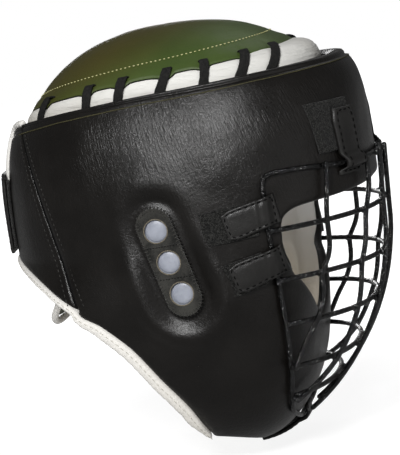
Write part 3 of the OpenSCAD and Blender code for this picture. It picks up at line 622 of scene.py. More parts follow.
def stitches(name, lines, pitch, length, radius, sink):
    # short rounded threads along each line, all in one mesh
    shape = [(cosd(t), sind(t)) for t in (0, 60, 120, 180, 240, 300)]
    verts, faces = [], []
    for line in lines:
        for p, along, across, out in framesOn(evenly(line, pitch), middle=(0, 0, -10)):
            base = len(verts)
            for share, fat in ((-0.5, 0.0), (-0.36, 0.8), (0, 1.0), (0.36, 0.8), (0.5, 0.0)):
                centre = p + along * share * length - out * sink * (1 if fat else 2.6)
                ring = [centre] if not fat else [centre + radius * fat * (c * across + s * out) for c, s in shape]
                verts += [v * mm for v in ring]
            rows = [[base]] + [[base + 1 + 6 * r + k for k in range(6)] for r in range(3)] + [[base + 19]]
            for k in range(6):
                j = (k + 1) % 6
                faces.append((rows[0][0], rows[1][j], rows[1][k]))
                faces.append((rows[4][0], rows[3][k], rows[3][j]))
                for r in (1, 2):
                    faces.append((rows[r][k], rows[r][j], rows[r + 1][j], rows[r + 1][k]))
    return solid(name, verts, faces)


def dip(q, r):
    # how far an edge of radius r has fallen at a distance q from its end
    return 0 if q >= r else r - math.sqrt(max(r * r - (r - q) ** 2, 0))


def steps(low, high, count):
    return [mix(low, high, k / count) for k in range(count + 1)]


def around(count):
    return [mix(180, -180, i / count) for i in range(count)]


# ears: the patch and its discs, and the ridge and hollow of the shell that swells round them
ears = dict(x=-1, z=-3, lean=14, long=76, wide=25, hole=15.5, pitch=22, plate=1.6, patch=2.2, seat=0.6,
            trimLong=1.6, trimWide=1.4, edge=0.45, discRise=1.5, rim=0.38, foldSlope=0.22, foldDown=1.3,
            whipIn=1.6, whipOut=1.3, whipPitch=2.3, whipRadius=0.45,
            ridge=4.2, ridgeAt=14.0, ridgeWide=8.0, hollow=1.4, hollowAt=3.5, hollowWide=4.4, lump=0.5,
            swellFrom=-14, swellTo=45, sideFrom=55, topShare=0.15, fadeZ=30, fadeOver=70)


def earDistance(x, z):
    # distance outside the patch's outline, in the plane of the side
    c, s = cosd(ears["lean"]), sind(ears["lean"])
    dx, dz = x - ears["x"], z - ears["z"]
    along, across = dz * c - dx * s, dx * c + dz * s
    half = (ears["long"] - ears["wide"]) / 2
    past = max(abs(along) - half, 0)
    return math.hypot(past, across) - ears["wide"] / 2


def swellAt(p):
    # how far the stuffed skin stands out: lumps everywhere, and a ridge round the ear that fades upwards
    k, (x, y, z) = ears, p
    rise = 0.0
    if abs(y) > k["sideFrom"]:
        q = earDistance(x, z)
        if k["swellFrom"] < q < k["swellTo"]:
            low = k["topShare"] + (1 - k["topShare"]) * ease((-z + k["fadeZ"]) / k["fadeOver"])
            rise += k["ridge"] * low * math.exp(-((q - k["ridgeAt"]) / k["ridgeWide"]) ** 2)
            rise -= k["hollow"] * math.exp(-((q - k["hollowAt"]) / k["hollowWide"]) ** 2)
    lump = noise.noise(Vector(p) * 0.03) + 0.5 * noise.noise(Vector(p) * 0.07)
    return rise + lump * k["lump"]


# the rolled rim along the shell's top, and the groove sewn under it
rim = dict(roll=4.6, lip=0.45, lipAt=3, lipWide=1.8, groove=0.9, grooveAt=6.4, grooveWide=1.2,
           rows=(9.5, 8.6, 7.8, 7.1, 6.4, 5.7, 5.0))


def rimRelief(m):
    # rise and fall at a distance below the rim's edge
    lip = rim["lip"] * math.exp(-((m - rim["lipAt"]) / rim["lipWide"]) ** 2)
    return lip - rim["groove"] * math.exp(-((m - rim["grooveAt"]) / rim["grooveWide"]) ** 2)


def arc(r, *turns):
    return [r * (1 - cosd(f)) for f in turns]


# the padded shell in front of the seam
frontShell = dict(rings=100, fan=3, rows=56, rowGap=1.5, jawRoll=2.6, mouthRoll=4.2, fill=0.8)


def evenRows(at, low, high, count):
    # rows an equal way apart on the skin; equal steps of angle leave wide gaps beside the ear
    spots = [(q, at(q, 0)) for q in steps(low, high, 40)]
    k = 0
    while k < len(spots) - 1:
        (q0, p0), (q1, p1) = spots[k], spots[k + 1]
        if away(p0, p1) > frontShell["rowGap"]:
            q = (q0 + q1) / 2
            spots.insert(k + 1, (q, at(q, 0)))
        else:
            k += 1
    table, run = [(0, low)], 0
    for (q0, p0), (q1, p1) in zip(spots, spots[1:]):
        run += away(p0, p1)
        table.append((run, q1))
    return [straight(run * j / count, table) for j in range(count)]


rimWall = [(0, 5.6), (1.0, 6.6), (2.0, 8.5), (2.2, 13), (2.6, liningD - layers["gap"])]


def frontSection(t):
    k = frontShell
    reach = away(frontPoint(t, 0, 0), frontPoint(t, 1, 0))
    top = abs(t) > form["seamT"] - 0.001
    roll = rim["roll"] if top else k["jawRoll"]

    def at(q, d):
        return frontPoint(t, q / reach, d)

    def face(q):
        d = dip(q, k["mouthRoll"]) + dip(reach - q, roll)
        rise = swellAt(at(q, d)) * min(1, q / 14) * min(1, (reach - q) / 9)
        return at(q, d - (rise + rimRelief(reach - q) if top else rise))

    middle = evenRows(at, k["mouthRoll"], reach - rim["rows"][0], k["rows"])
    ends = [reach - m for m in rim["rows"]] + [reach - m for m in arc(roll, 72, 54, 36, 18, 0)]
    loop = [at(0, layers["mouthLip"])] + [face(q) for q in arc(k["mouthRoll"], 0, 18, 36, 54, 72) + middle + ends]
    deep = liningD - layers["gap"]
    # the hidden way back: down the end, along the lining and up the mouth's wall
    wall = rimWall if top else [(0, 5), (0, 9), (0, 13), (0.3, 17), (0.6, deep)]
    loop += [at(reach - m, d) for m, d in wall] + [at(q, deep) for q in steps(reach - 6, 5, 10)]
    loop += [at(2.2, deep - 1), at(2.0, 13), at(1.6, 8)]
    return loop


def ringShares(count):
    # one way round the opening; closer together where the lines fan out towards the seam
    jaw, seam = form["jawT"], form["seamT"]
    half = steps(0, jaw, round(count * jaw))[:-1]
    half += steps(jaw, seam, round(count * (seam - jaw) * frontShell["fan"]))[:-1]
    half += steps(seam, 1, round(count * (1 - seam)))
    return [-t for t in half[-2:0:-1]] + half


def makeFrontShell():
    ts = ringShares(frontShell["rings"])
    piece = surface("frontShell", [frontSection(t) for t in ts], ring=True, loop=True)
    dress(piece, shellLeather, "black_leather", "shell", "front_cover", "forehead_pad", "side_pad_right",
          "side_pad_left", "chin_pad")


def liningSection(t):
    reach = away(frontPoint(t, 0, 0), frontPoint(t, 1, 0))
    top = abs(t) > form["seamT"] - 0.001
    bend, thin = 6.0, 0.9

    def at(q, d):
        return frontPoint(t, q / reach, d)

    wall = [(0.3, layers["mouthLip"] + 0.5), (0.15, 9), (0.3, 12.5)]
    wall += [(bend * (1 - cosd(f)) + 0.3, insideD - bend * (1 - sind(f))) for f in (0, 22, 45, 68, 90)]
    inner = [(q, insideD) for q in steps(10, reach - 4, 20)]
    if top:
        inner += [(reach - 1.6, insideD - 0.5), (reach - 0.4, insideD - 2.2), (reach - 0.2, 15), (reach - 0.5, 10.2)]
    else:
        inner += [(reach - share, insideD) for share in (3, 2, 1, 0)]
    path = wall + inner
    outside = []
    for q, d in path:
        p = Vector(at(q, d))
        soft = 0.5 * noise.noise(p * 0.05) + 0.22 * noise.noise(p * 0.16)
        outside.append(at(q, d + (soft if 12 < q < reach - 8 else 0)))
    # the inner side: the wall's points and the rim's move along the skin, the rest move towards the foam
    last = len(path) - (3 if top else 0)
    under = [at(q + (thin if k < 5 else 0) - (thin if top and k >= last else 0), d - (thin if 4 < k <= last else 0))
             for k, (q, d) in enumerate(path)]
    return outside + under[::-1]


def makeFrontLining():
    ts = ringShares(frontShell["rings"])
    piece = surface("frontLining", [liningSection(t) for t in ts], ring=True, loop=True)
    dress(piece, liningLeather, "lining_leather", "shell", "front_lining")


makeFrontShell()
makeFrontLining()
print("front shell made")

# the padded shell behind the seam
rearShell = dict(columns=46, rows=30, edgeRoll=2.4, gap=0.6, lowest=6, liningColumns=40, liningThick=0.9, fill=0.8)


def rearPoint(u, v, d, gap):
    a0 = seamA(v)
    a = mix(a0 + form["seamGap"], 180 - gap, u)
    fix = seamW(v) - mix(napeW(a0), rimW(a0), v)
    w = mix(napeW(a), rimW(a), v) + (1 - u) * fix
    return shell(a, w, d)


def rearSection(u, gap, inner):
    k = rearShell
    high = away(rearPoint(u, 0, 0, gap), rearPoint(u, 1, 0, gap))
    wide = away(rearPoint(0, 0.5, 0, gap), rearPoint(1, 0.5, 0, gap))

    def at(m, d):
        return rearPoint(u, m / high, d, gap)

    edge = dip(u * wide, k["edgeRoll"]) + dip((1 - u) * wide, k["edgeRoll"])

    def face(m):
        d = edge + dip(m, k["edgeRoll"]) + dip(high - m, rim["roll"])
        rise = swellAt(at(m, d)) * min(1, m / 8, (high - m) / 9, u * wide / 6, (1 - u) * wide / 6)
        return at(m, min(d - (rise + rimRelief(high - m)), k["lowest"]))

    middle = [mix(k["edgeRoll"], high - rim["rows"][0], j / k["rows"]) for j in range(k["rows"])]
    ends = [high - m for m in rim["rows"]] + [high - m for m in arc(rim["roll"], 72, 54, 36, 18, 0)]
    loop = [face(m) for m in arc(k["edgeRoll"], 0, 30, 60) + middle + ends]
    # the hidden way back: down the rim's wall, along the lining and up the nape's wall
    loop += [at(high - m, d) for m, d in ((0, 5.6), (1.0, 6.6), (2.0, 8.5), (2.4, 13), (2.6, inner))]
    loop += [at(m, inner) for m in steps(high - 8, 6, 8)] + [at(0.5, inner), at(0, 13), at(0, 8)]
    return loop


def makeRearShells():
    k = rearShell
    shares = [0, 0.006, 0.016, 0.03] + steps(0.05, 0.95, k["columns"] - 8) + [0.97, 0.984, 0.994, 1]
    columns = [rearSection(u, k["gap"], liningD - layers["gap"]) for u in shares]
    for side, name in bothSides:
        piece = surface("rearShell_" + name, [mirrored(side, c) for c in columns], loop=True, caps=True)
        dress(piece, shellLeather, "black_leather", "shell", "rear_cover_" + name, "rear_pad_" + name)


def rearLiningSection(u):
    thin = rearShell["liningThick"]
    high = away(rearPoint(u, 0, 0, 0), rearPoint(u, 1, 0, 0))
    path = []
    for m in steps(0, high - 4, 26):
        soft = 0.4 * noise.noise(Vector(rearPoint(u, m / high, 0, 0)) * 0.06) * ease(m / 9) * ease((high - m) / 9)
        path.append((m / high, insideD + soft))
    path += [(1 - 1.6 / high, insideD - 0.5), (1 - 0.4 / high, insideD - 2.2), (1 - 0.2 / high, 15),
             (1 - 0.5 / high, 10.2)]
    last = len(path) - 3
    under = [(v - (thin / high if k >= last else 0), d - (thin if k <= last else 0)) for k, (v, d) in enumerate(path)]
    return [rearPoint(u, v, d, 0) for v, d in path + under[::-1]]


def makeRearLining():
    columns = [rearLiningSection(u) for u in steps(0, 1, rearShell["liningColumns"])]
    both = columns + [mirrored(-1, c) for c in columns[-2::-1]]
    dress(surface("rearLining", both, loop=True, caps=True), liningLeather, "lining_leather", "shell", "rear_lining")


makeRearShells()
makeRearLining()
print("rear shell made")

# white leather at the edges
band = dict(depth=6.9, high=10, thick=2.4, around=288, rows=16, plump=0.5, pinch=0.9, pinchWide=4.2)
lacing = dict(wide=6.4, thick=1.3, gap=0.5, turns=7, degree=1.75,  # degree: millimetres of rim for each degree
              low=[(0, 142), (0.17, 114), (0.83, 64), (1, 50)], high=[(0, 138), (0.17, 113), (0.67, 71), (1, 31)])


def bandPoint(a, s, d):
    p = shell(a, rimW(a) + 0.35, band["depth"] + d)
    q = crown(a, crownRise(rimZ(a) + band["high"]), d)
    m = [mix(u, v, s) for u, v in zip(p, q)]
    c = Vector((m[0], m[1], m[2] - 20)).normalized()
    return Vector(m) + c * (1.8 + 4 * power(cosd(a), 6)) * sind(180 * s)


def laceAngle(k, share):
    turns = lacing["turns"] - 1
    if share <= 1:
        return mix(straight(k / turns, lacing["low"]), straight(k / turns, lacing["high"]), share)
    return mix(straight(k / turns, lacing["high"]), straight((k + 1) / turns, lacing["low"]), share - 1)


def nearestLace(a, s):
    # signed distance in millimetres round the head to the nearest turn of lace
    best = 99.0
    for k in range(lacing["turns"]):
        gap = (abs(a) - laceAngle(k, min(max(s, 0), 1))) * lacing["degree"]
        if abs(gap) < abs(best):
            best = gap
    return best


def makeBand():
    columns = []
    for a in around(band["around"]):
        outside, inside = [], []
        for j in range(band["rows"] + 1):
            s = j / band["rows"]
            pinch = math.exp(-(nearestLace(a, s) / band["pinchWide"]) ** 2)
            p = bandPoint(a, s, 0)
            crease = 0.35 * noise.noise(Vector((p.x * 0.06, p.y * 0.06, p.z * 0.55)))
            crease += 0.2 * noise.noise(Vector((p.x * 0.2, p.y * 0.2, p.z * 0.9)))
            bulge = (band["plump"] - pinch * band["pinch"] + crease) * math.sin(math.pi * s) ** 0.7
            outside.append(bandPoint(a, s, -bulge))
            inside.append(bandPoint(a, s, band["thick"]))
        rim = [bandPoint(a, 1, band["thick"] * f) for f in (0.25, 0.75)]
        foot = [bandPoint(a, 0, band["thick"] * f) for f in (0.75, 0.25)]
        columns.append(outside + rim + inside[::-1] + foot)
    dress(surface("edgeBand", columns, ring=True, loop=True), bandLeather, "white_leather", "shell", "edge_band")


makeBand()

# rolls: how far down and how deep each point of its section lies; it grows narrow along the nape
binding = dict(jawFrom=0.315, jawTo=0.985, jawGrow=1.28, napeGrow=0.64, narrowAt=66, narrowOver=34,
               rolls=[(-0.7, 0.4), (-0.1, -0.95), (2.2, -1.45), (4.0, -1.1), (5.1, -0.3), (5.9, 1.4), (6.4, 4),
                      (6.5, 8), (6.5, 13), (6.1, 17), (4.9, 19.2), (3.4, 20.1), (1.6, 20.3)])


def bindingEdges():
    jaw = [outer(t * form["jawT"]) for t in steps(binding["jawFrom"], binding["jawTo"], 90)]
    return jaw + [(a, napeW(a)) for a in steps(form["seamLowA"], 180, 40)]


def makeBinding():
    edges = bindingEdges()
    points = softened([shell(a, w, 0) for a, w in edges], 8)
    columns = []
    for i, ((a, w), p) in enumerate(zip(edges, points)):
        before, after = Vector(points[max(i - 1, 0)]), Vector(points[min(i + 1, len(points) - 1)])
        along = (after - before).normalized() if i < len(points) - 1 else Vector((0, -1, 0))
        up = Vector(shell(a, w + 1.5, 0)) - Vector(shell(a, w, 0))
        down = -(up - along * (up @ along)).normalized()
        deep = (Vector(shell(a, w, insideD)) - Vector(shell(a, w, 0))) / insideD
        narrow = ease((i - binding["narrowAt"]) / binding["narrowOver"])
        grow = min(1, 0.3 + i / 14) * mix(binding["jawGrow"], binding["napeGrow"], narrow)
        pucker = 0.28 * noise.noise(Vector(p) * 0.35) + 0.16 * noise.noise(Vector(p) * 0.9)
        rolls = [(q * grow + (pucker if q > 1.5 else 0), d - (pucker * 0.8 if d < 0 else 0))
                 for q, d in binding["rolls"]] + [(0.5, 16), (0.5, 10), (0.5, 4)]
        columns.append([Vector(p) + down * q + deep * d for q, d in rolls])
    both = columns + [mirrored(-1, c) for c in columns[-2::-1]]
    piece = surface("bottomBinding", both, loop=True, caps=True)
    dress(piece, bindingLeather, "white_leather", "shell", "bottom_binding")
    line = [tuple(Vector(p) + (q[2] - Vector(p)) * 0.55 + (q[1] - Vector(p)) * 0.4) for p, q in zip(points, columns)]
    thread = stitches("bindingStitches", [line, mirrored(-1, line)], 4.2, 2.6, 0.32, sink=-0.25)
    dress(thread, whiteThread, "white_leather", "shell")


makeBinding()


piping = dict(radius=2.3, cornerA=162, turn=5.5, fall=5, endA=166.5, fallTo=57)
thinLines = dict(lineDown=3.7, lineRadius=0.35, weltShadeDeep=1.45, weltShadeRadius=1.4)


def makeRearPiping():
    # white piping along the top edge behind the seam, round the corner and down to the closure
    k = piping
    corner, down = k["cornerA"], k["cornerA"] + k["turn"]
    path = [shell(a, rimW(a) + 0.2, 0.6 - 0.6 * ease((a - 150) / 6)) for a in steps(form["seamTopA"] + 0.5, corner, 20)]
    for f in steps(10, 90, 8):
        a = corner + k["turn"] * sind(f)
        path.append(shell(a, rimW(a) + 0.2 - k["fall"] * (1 - cosd(f)), -0.3))
    path += [shell(a, riseOf(z), -0.2) for a, z in zip(steps(down, k["endA"], 12), steps(82, k["fallTo"], 12))]
    path = softened(evenly(path, 1.5), 4)
    for side, name in bothSides:
        cord = tube("rearPiping_" + name, mirrored(side, path), piping["radius"], sides=12)
        dress(cord, bindingLeather, "white_leather", "shell")


def makeThinLines():
    # an olive edge under the rolled rim, and a near-black cord in each rear seam: partly the seam's own cord, partly
    # painted shade of its hollow
    k = thinLines
    for side, name in bothSides:
        path = []
        for a in steps(2, form["seamTopA"] - 2, 120):
            w = rimW(a) - k["lineDown"]
            path.append(shell(a * side, w, -0.2 - swellAt(shell(a * side, w, 0))))
        line = tube("rimLine_" + name, softened(path, 2), k["lineRadius"], sides=8)
        dress(line, oliveThread, "black_leather", "shell")
    # near-black tubes sunk in the rear seams: partly the seam's cord, partly painted shade
    for side, name in bothSides:
        path = [shell((seamA(v) - form["seamGap"] / 2) * side, seamW(v), k["weltShadeDeep"]) for v in steps(0.02, 0.98, 90)]
        dress(tube("seamWelt_" + name, path, k["weltShadeRadius"], sides=10), darkThreadAndShade, "black_leather", "shell")


makeRearPiping()
makeThinLines()
print("edges made")

# crown
# pole: where the rows end, so near the top that no hole shows
# tuckBehind and tuckAhead: how far each dip of the edge reaches behind the lace and ahead of it
dome = dict(around=256, rows=40, pole=89.97, edgeDown=2.4, tuck=2.7, tuckBehind=2.6, tuckAhead=6.0, stitchUp=18.0,
            inner=11.1, innerAround=128, innerRows=22, fill=0.7)


def crownEdgeZ(a):
    # the green edge dips at each turn of the lace, further on its forward side
    z = rimZ(a) + band["high"] - dome["edgeDown"]
    for k in range(lacing["turns"]):
        gap = (abs(a) - laceAngle(k, 1)) * lacing["degree"]
        z -= dome["tuck"] * math.exp(-(gap / (dome["tuckBehind"] if gap < 0 else dome["tuckAhead"])) ** 2)
    return z


def makeCrownCover():
    columns = []
    for a in around(dome["around"]):
        edge, stitch = crownRise(crownEdgeZ(a)), crownRise(rimZ(a) + dome["stitchUp"])
        outside, inside = [], []
        for j in range(dome["rows"] + 1):
            w = mix(edge, dome["pole"], 1 - (1 - j / dome["rows"]) ** 1.5)
            climb = (w - edge) * 2.4
            p = Vector(crown(a, w, 0))
            dent = 0.5 * math.exp(-((w - stitch) / 0.45) ** 2)
            puff = 0.55 * math.exp(-((w - (edge + stitch) / 2) / 1.6) ** 2)
            wave = 0.35 * noise.noise(p * 0.035) + 0.22 * noise.noise(p * 0.09) * ease(climb / 20)
            lift = (1.0 - 0.9 * ease(climb / 14)) + puff - dent + wave
            outside.append(crown(a, w, -lift))
            inside.append(crown(a, w, 0.35 + 9.0 * ease((climb - 3) / 16)))
        columns.append(outside + inside[::-1])
    piece = surface("crownShell", columns, ring=True, loop=True)
    dress(piece, crownLeather, "crown_leather", "shell", "crown_cover", "crown_pad")


def makeCrownShadeAndStitches():
    # a dark tube along the green edge, painted shade of the gap under it, and a row of pale stitches above it
    edge = [crown(a, crownRise(crownEdgeZ(a) - 0.25), -0.75) for a in around(289)]
    dress(tube("crownEdgeShade", edge, 0.42, closed=True, sides=8), darkThreadAndShade, "crown_leather", "shell")
    lines = [[crown(a * side, crownRise(rimZ(a) + dome["stitchUp"]), -0.05) for a in steps(4, 176, 200)]
             for side in (1, -1)]
    dress(stitches("crownStitches", lines, 3.0, 1.5, 0.42, sink=-0.2), paleThread, "crown_leather", "shell")


def makeCrownLining():
    columns = []
    for a in around(dome["innerAround"]):
        edge = crownRise(rimZ(a) + band["high"] + 1.9) - 4.0
        ws = [mix(edge, dome["pole"], 1 - (1 - s) ** 1.4) for s in steps(0, 1, dome["innerRows"])]
        columns.append([crown(a, w, dome["inner"]) for w in ws] + [crown(a, w, dome["inner"] - 1) for w in ws[::-1]])
    piece = surface("crownLining", columns, ring=True, loop=True)
    dress(piece, liningLeather, "lining_leather", "shell", "crown_lining")


makeCrownCover()
makeCrownShadeAndStitches()
makeCrownLining()


def laceRoute():
    inner = band["thick"] + lacing["gap"] + 0.55
    outside = -lacing["gap"] - 0.65
    # share of the band's height, millimetres past it, depth, and share of the turn: up outside, down inside
    turn = [(0, -1.25, 0.9, -0.02), (0, 0.1, outside + 0.25, 0), (0.2, 0, outside - 0.25, 0.2),
            (0.5, 0, outside - 0.6, 0.5), (0.8, 0, outside - 1.4, 0.8), (1, 0.3, outside - 1.5, 1),
            (1, 1.6, -0.3, 1.03), (1, 1.35, band["thick"] - 0.2, 1.06), (1, -0.3, inner, 1.12),
            (0.6, 0, inner, 1.4), (0.3, 0, inner, 1.65), (0, 0.2, inner, 1.9), (0, -1.3, band["thick"] - 0.3, 1.95)]
    route = []
    for k in range(lacing["turns"]):
        for s, past, d, share in turn:
            if k < lacing["turns"] - 1 or share <= 1:
                a = laceAngle(k, share)
                s1 = s + past / (bandPoint(a, 1, 0) - bandPoint(a, 0, 0)).length
                route.append((bandPoint(a, s1, d), a))
    return route


def between(points, i, t):
    # a smooth line through four neighbouring points
    p0, p1, p2, p3 = (points[min(max(i + o, 0), len(points) - 1)] for o in (-1, 0, 1, 2))
    return 0.5 * (2 * p1 + (p2 - p0) * t + (2 * p0 - 5 * p1 + 4 * p2 - p3) * t * t
                  + (3 * p1 - 3 * p2 + p3 - p0) * t ** 3)


def makeLace():
    route = laceRoute()
    points = [p for p, _ in route]
    fine, angles, columns = [], [], []
    for i in range(len(points) - 1):
        for t in (q / 6 for q in range(6)):
            fine.append(between(points, i, t))
            angles.append(mix(route[i][1], route[i + 1][1], t))
    for i, (p, a) in enumerate(zip(fine, angles)):
        along = (fine[min(i + 1, len(fine) - 1)] - fine[max(i - 1, 0)]).normalized()
        wide = (bandPoint(a - 2, 0.5, 0) - bandPoint(a + 2, 0.5, 0)).normalized()
        across = (wide - along * (wide @ along)).normalized()
        out = across.cross(along)
        squeeze = 1 + 0.1 * noise.noise(p * 0.3)
        half, thick = lacing["wide"] / 2 * squeeze, lacing["thick"] / 2
        columns.append([p + across * half * math.copysign(abs(cosd(f)) ** 0.5, cosd(f))
                        + out * thick * math.copysign(abs(sind(f)) ** 0.8, sind(f)) for f in range(0, 360, 20)])
    for side, name in bothSides:
        piece = surface("crownLace_" + name, [mirrored(side, c) for c in columns], loop=True, caps=True)
        dress(piece, flatLace, "lace", "shell", *(["crown_lace"] if side > 0 else []))


makeLace()
print("crown and lace made")


# ears
def earPlace(side):
    p = onSide(ears["x"], ears["z"], 0)
    turned = Matrix.Rotation(math.radians(-ears["lean"]), 4, "Y") @ Matrix.Rotation(math.radians(-90), 4, "X")
    made = Matrix.Translation(Vector(p) * mm) @ turned
    return made if side > 0 else Matrix.Scale(-1, 4, (0, 1, 0)) @ made


def roundEnded(long, wide, step=6):
    half = (long - wide) / 2
    points = [(wide / 2 * cosd(f), half + wide / 2 * sind(f)) for f in range(0, 181, step)]
    return points + [(wide / 2 * cosd(f), -half + wide / 2 * sind(f)) for f in range(180, 361, step)]


def plate(name, outlines, low, thick, edge, side):
    # a flat plate with rounded edges from closed outlines in millimetres, the first one outside
    curve = bpy.data.curves.new(name, "CURVE")
    curve.dimensions, curve.fill_mode = "2D", "BOTH"
    curve.extrude, curve.bevel_depth, curve.bevel_resolution = (thick / 2 - edge) * mm, edge * mm, 3
    curve.offset = -edge * mm
    for outline in outlines:
        line = curve.splines.new("POLY")
        line.points.add(len(outline) - 1)
        for point, (x, y) in zip(line.points, outline):
            point.co = (x * mm, y * mm, 0, 1)
        line.use_cyclic_u = True
    maker = bpy.data.objects.new(name, curve)
    bpy.context.scene.collection.objects.link(maker)
    bpy.context.view_layer.update()
    data = bpy.data.meshes.new_from_object(maker.evaluated_get(bpy.context.evaluated_depsgraph_get()))
    bpy.data.objects.remove(maker)
    bm = bmesh.new()
    bm.from_mesh(data)
    bmesh.ops.remove_doubles(bm, verts=bm.verts, dist=0.00001)
    seated = earPlace(side) @ Matrix.Translation((0, 0, (low + thick / 2) * mm))
    bmesh.ops.transform(bm, matrix=seated, verts=bm.verts)
    bmesh.ops.recalc_face_normals(bm, faces=bm.faces)
    bm.to_mesh(data)
    bm.free()
    data.name = name
    piece = bpy.data.objects.new(name, data)
    bpy.context.scene.collection.objects.link(piece)
    return piece


def onEar(side, x, y, z):
    return tuple(v / mm for v in earPlace(side) @ Vector((x * mm, y * mm, z * mm)))


def makeEar(side, name):
    k = ears
    seat = k["plate"] + k["seat"]
    face = seat + k["patch"]
    holes = [[(k["hole"] / 2 * cosd(f), c * k["pitch"] + k["hole"] / 2 * sind(f)) for f in range(0, 360, 8)]
             for c in (-1, 0, 1)]
    outline = roundEnded(k["long"] - k["trimLong"], k["wide"] - k["trimWide"])
    patch = plate("earPatch_" + name, [outline] + holes, seat, k["patch"], k["edge"], side)
    dress(patch, earSuede, "suede", "shell", "ear_patch_" + name)
    insert = plate("earInsert_" + name, [roundEnded(k["long"] - 4, k["wide"] - 4)], 0.3, k["plate"], 0.3, side)
    dress(insert, earPlastic, "clear_plastic", "shell", "ear_insert_" + name)
    for i, c in enumerate((-1, 0, 1)):
        makeEarDisc("%d_%s" % (i + 1, name), c * k["pitch"], face - 0.2, side)
    makeEarThreads(name, face, side)


def makeEarDisc(name, high, face, side):
    k = ears
    lens, hoop = k["hole"] / 2 - 0.35, k["hole"] / 2 + 0.1
    columns = [[onEar(side, lens * sind(h) * cosd(f), high + lens * sind(h) * sind(f),
                      0.3 + k["plate"] + k["discRise"] * cosd(h) - 0.05) for h in steps(90, 0.6, 10)]
               for f in range(0, 360, 10)]
    dress(surface("earDisc_" + name, columns, ring=True, weld=0.02), earPlastic, "clear_plastic", "shell")
    ring = [onEar(side, hoop * cosd(f), high + hoop * sind(f), face) for f in range(0, 360, 8)]
    dress(tube("earRim_" + name, ring, k["rim"], closed=True, sides=10), eyeletRim, "suede", "shell")


def makeEarThreads(name, face, side):
    # whipped thread over the patch's edge, stitches across it and a fold above the lowest disc
    k = ears
    run = evenly([(x, y, 0) for x, y in roundEnded(k["long"] - 2.2, k["wide"] - 2.0, 4)], k["whipPitch"], closed=True)
    whips = []
    for i, (x, y, _) in enumerate(run):
        x1, y1, _ = run[(i + 1) % len(run)]
        x0, y0, _ = run[i - 1]
        nx, ny = y1 - y0, x0 - x1
        n = math.hypot(nx, ny)
        nx, ny = nx / n, ny / n
        whips.append([onEar(side, x - nx * k["whipIn"], y - ny * k["whipIn"], face + 0.05),
                      onEar(side, x, y, face - 0.05),
                      onEar(side, x + nx * k["whipOut"], y + ny * k["whipOut"], face - 1.5)])
    dress(whipStitches("earWhips_" + name, whips, k["whipRadius"]), whipThread, "suede", "shell")
    rows = [[onEar(side, x, c * k["pitch"] + k["foldSlope"] * x, face + 0.02) for x in steps(-11.4, 11.4, 20)]
            for c in (-0.5, 0.5)]
    cross = stitches("earCrossStitches_" + name, rows, 2.0, 1.4, 0.3, sink=0.05)
    dress(cross, darkThreadAndShade, "suede", "shell")
    fold = [onEar(side, x, -0.5 * k["pitch"] - k["foldDown"] + k["foldSlope"] * x, face - 0.25)
            for x in steps(-11.8, 11.8, 16)]
    dress(tube("earFold_" + name, fold, 0.55, sides=10), earSuede, "suede", "shell")


def whipStitches(name, threads, radius):
    verts, faces = [], []
    for thread in threads:
        base = len(verts)
        for p, _, across, out in framesOn(thread):
            verts += [(p + radius * (cosd(60 * k) * out + sind(60 * k) * across)) * mm for k in range(6)]
        for low in range(base, base + 6 * (len(thread) - 1), 6):
            faces += [(low + k, low + (k + 1) % 6, low + 6 + (k + 1) % 6, low + 6 + k) for k in range(6)]
        last = base + 6 * (len(thread) - 1)
        faces += [tuple(range(base, base + 6)), tuple(reversed(range(last, last + 6)))]
    return solid(name, verts, faces)


for side, name in bothSides:
    makeEar(side, name)
print("ears made")

# cage
# spread: how far out an upright stands at a height, beside where it starts
wires = dict(d=3.5, topZ=44, sideX=65, frontX=132, closeZ=149, sideEndZ=-121, bottomZ=-133.5,
             bars=(7, -27, -57, -87, -108), topDrop=3.3, middleY=16, middleEndZ=-129,
             innerY=38.5, innerEndZ=-111,
             innerSpread=[(-100, 22), (-87, 15.5), (-73, 13), (-55, 11.5), (-20, 10), (2, 8), (26, 0)],
             outerY=71, outerEndZ=-87, outerSpread=[(-71, 7.5), (-55, 4.5), (-40, 2.6), (-25, 2.8), (5, 3.8)],
             weldReach=5.2, weldApart=9, beadLong=2.5, beadWide=2.25)
stand = wires["d"] / 2 + 0.45
lap = wires["d"] + 0.3


def sideBarX(z):
    return wires["sideX"] - 9 * power((-z - 60) / 62, 1.8)


def sideBarY(z):
    return onSide(sideBarX(z), z, -stand)[1]


def cageFront(z):
    if z > 0:
        return wires["frontX"] + 2.7 * z / wires["topZ"]
    return wires["frontX"] * power(1 - power(-z / wires["closeZ"], 1.85), 0.54)


def cageSquare(z):
    return mix(2.2, 2.45, ease((-z - 25) / 35))


def topDip(y):
    return wires["topDrop"] * (1 - ease((abs(y) - 50) / 36))


def cagePoint(y, z, layer):
    n = cageSquare(z)
    out = layer * (1 + 0.5 * power((-z - 40) / 80, 1.5))
    f = cageFront(z) - wires["d"]
    wide = sideBarY(z) / power(1 - min(sideBarX(z) / f, 0.97) ** n, 1 / n) + out
    return ((f + out) * power(1 - min(abs(y) / wide, 1) ** n, 1 / n), y, z)


def angleOf(x, z):
    n = squareAt(z, -stand)
    return asind(power(1 - min(x / frontAt(z, -stand), 1) ** n, 1 / n))


def rimHalf():
    topY = sideBarY(wires["topZ"]) - 1
    path = []
    for i in range(41):
        x, y, z = cagePoint(topY * sind(90 * i / 40), wires["topZ"], 0)
        path.append((x, y, z - topDip(y)))
    for i in range(50):
        z = mix(wires["topZ"] - 3, wires["sideEndZ"], i / 49)
        path.append((sideBarX(z), sideBarY(z), z))
    a0 = angleOf(sideBarX(wires["sideEndZ"]), wires["sideEndZ"])
    for i in range(1, 25):
        a = mix(a0, 0, i / 24)
        z = mix(wires["bottomZ"], wires["sideEndZ"], (a / a0) ** 2)
        path.append(shell(a, asind(z / (form["chinZ"] + stand)), -stand))
    return path


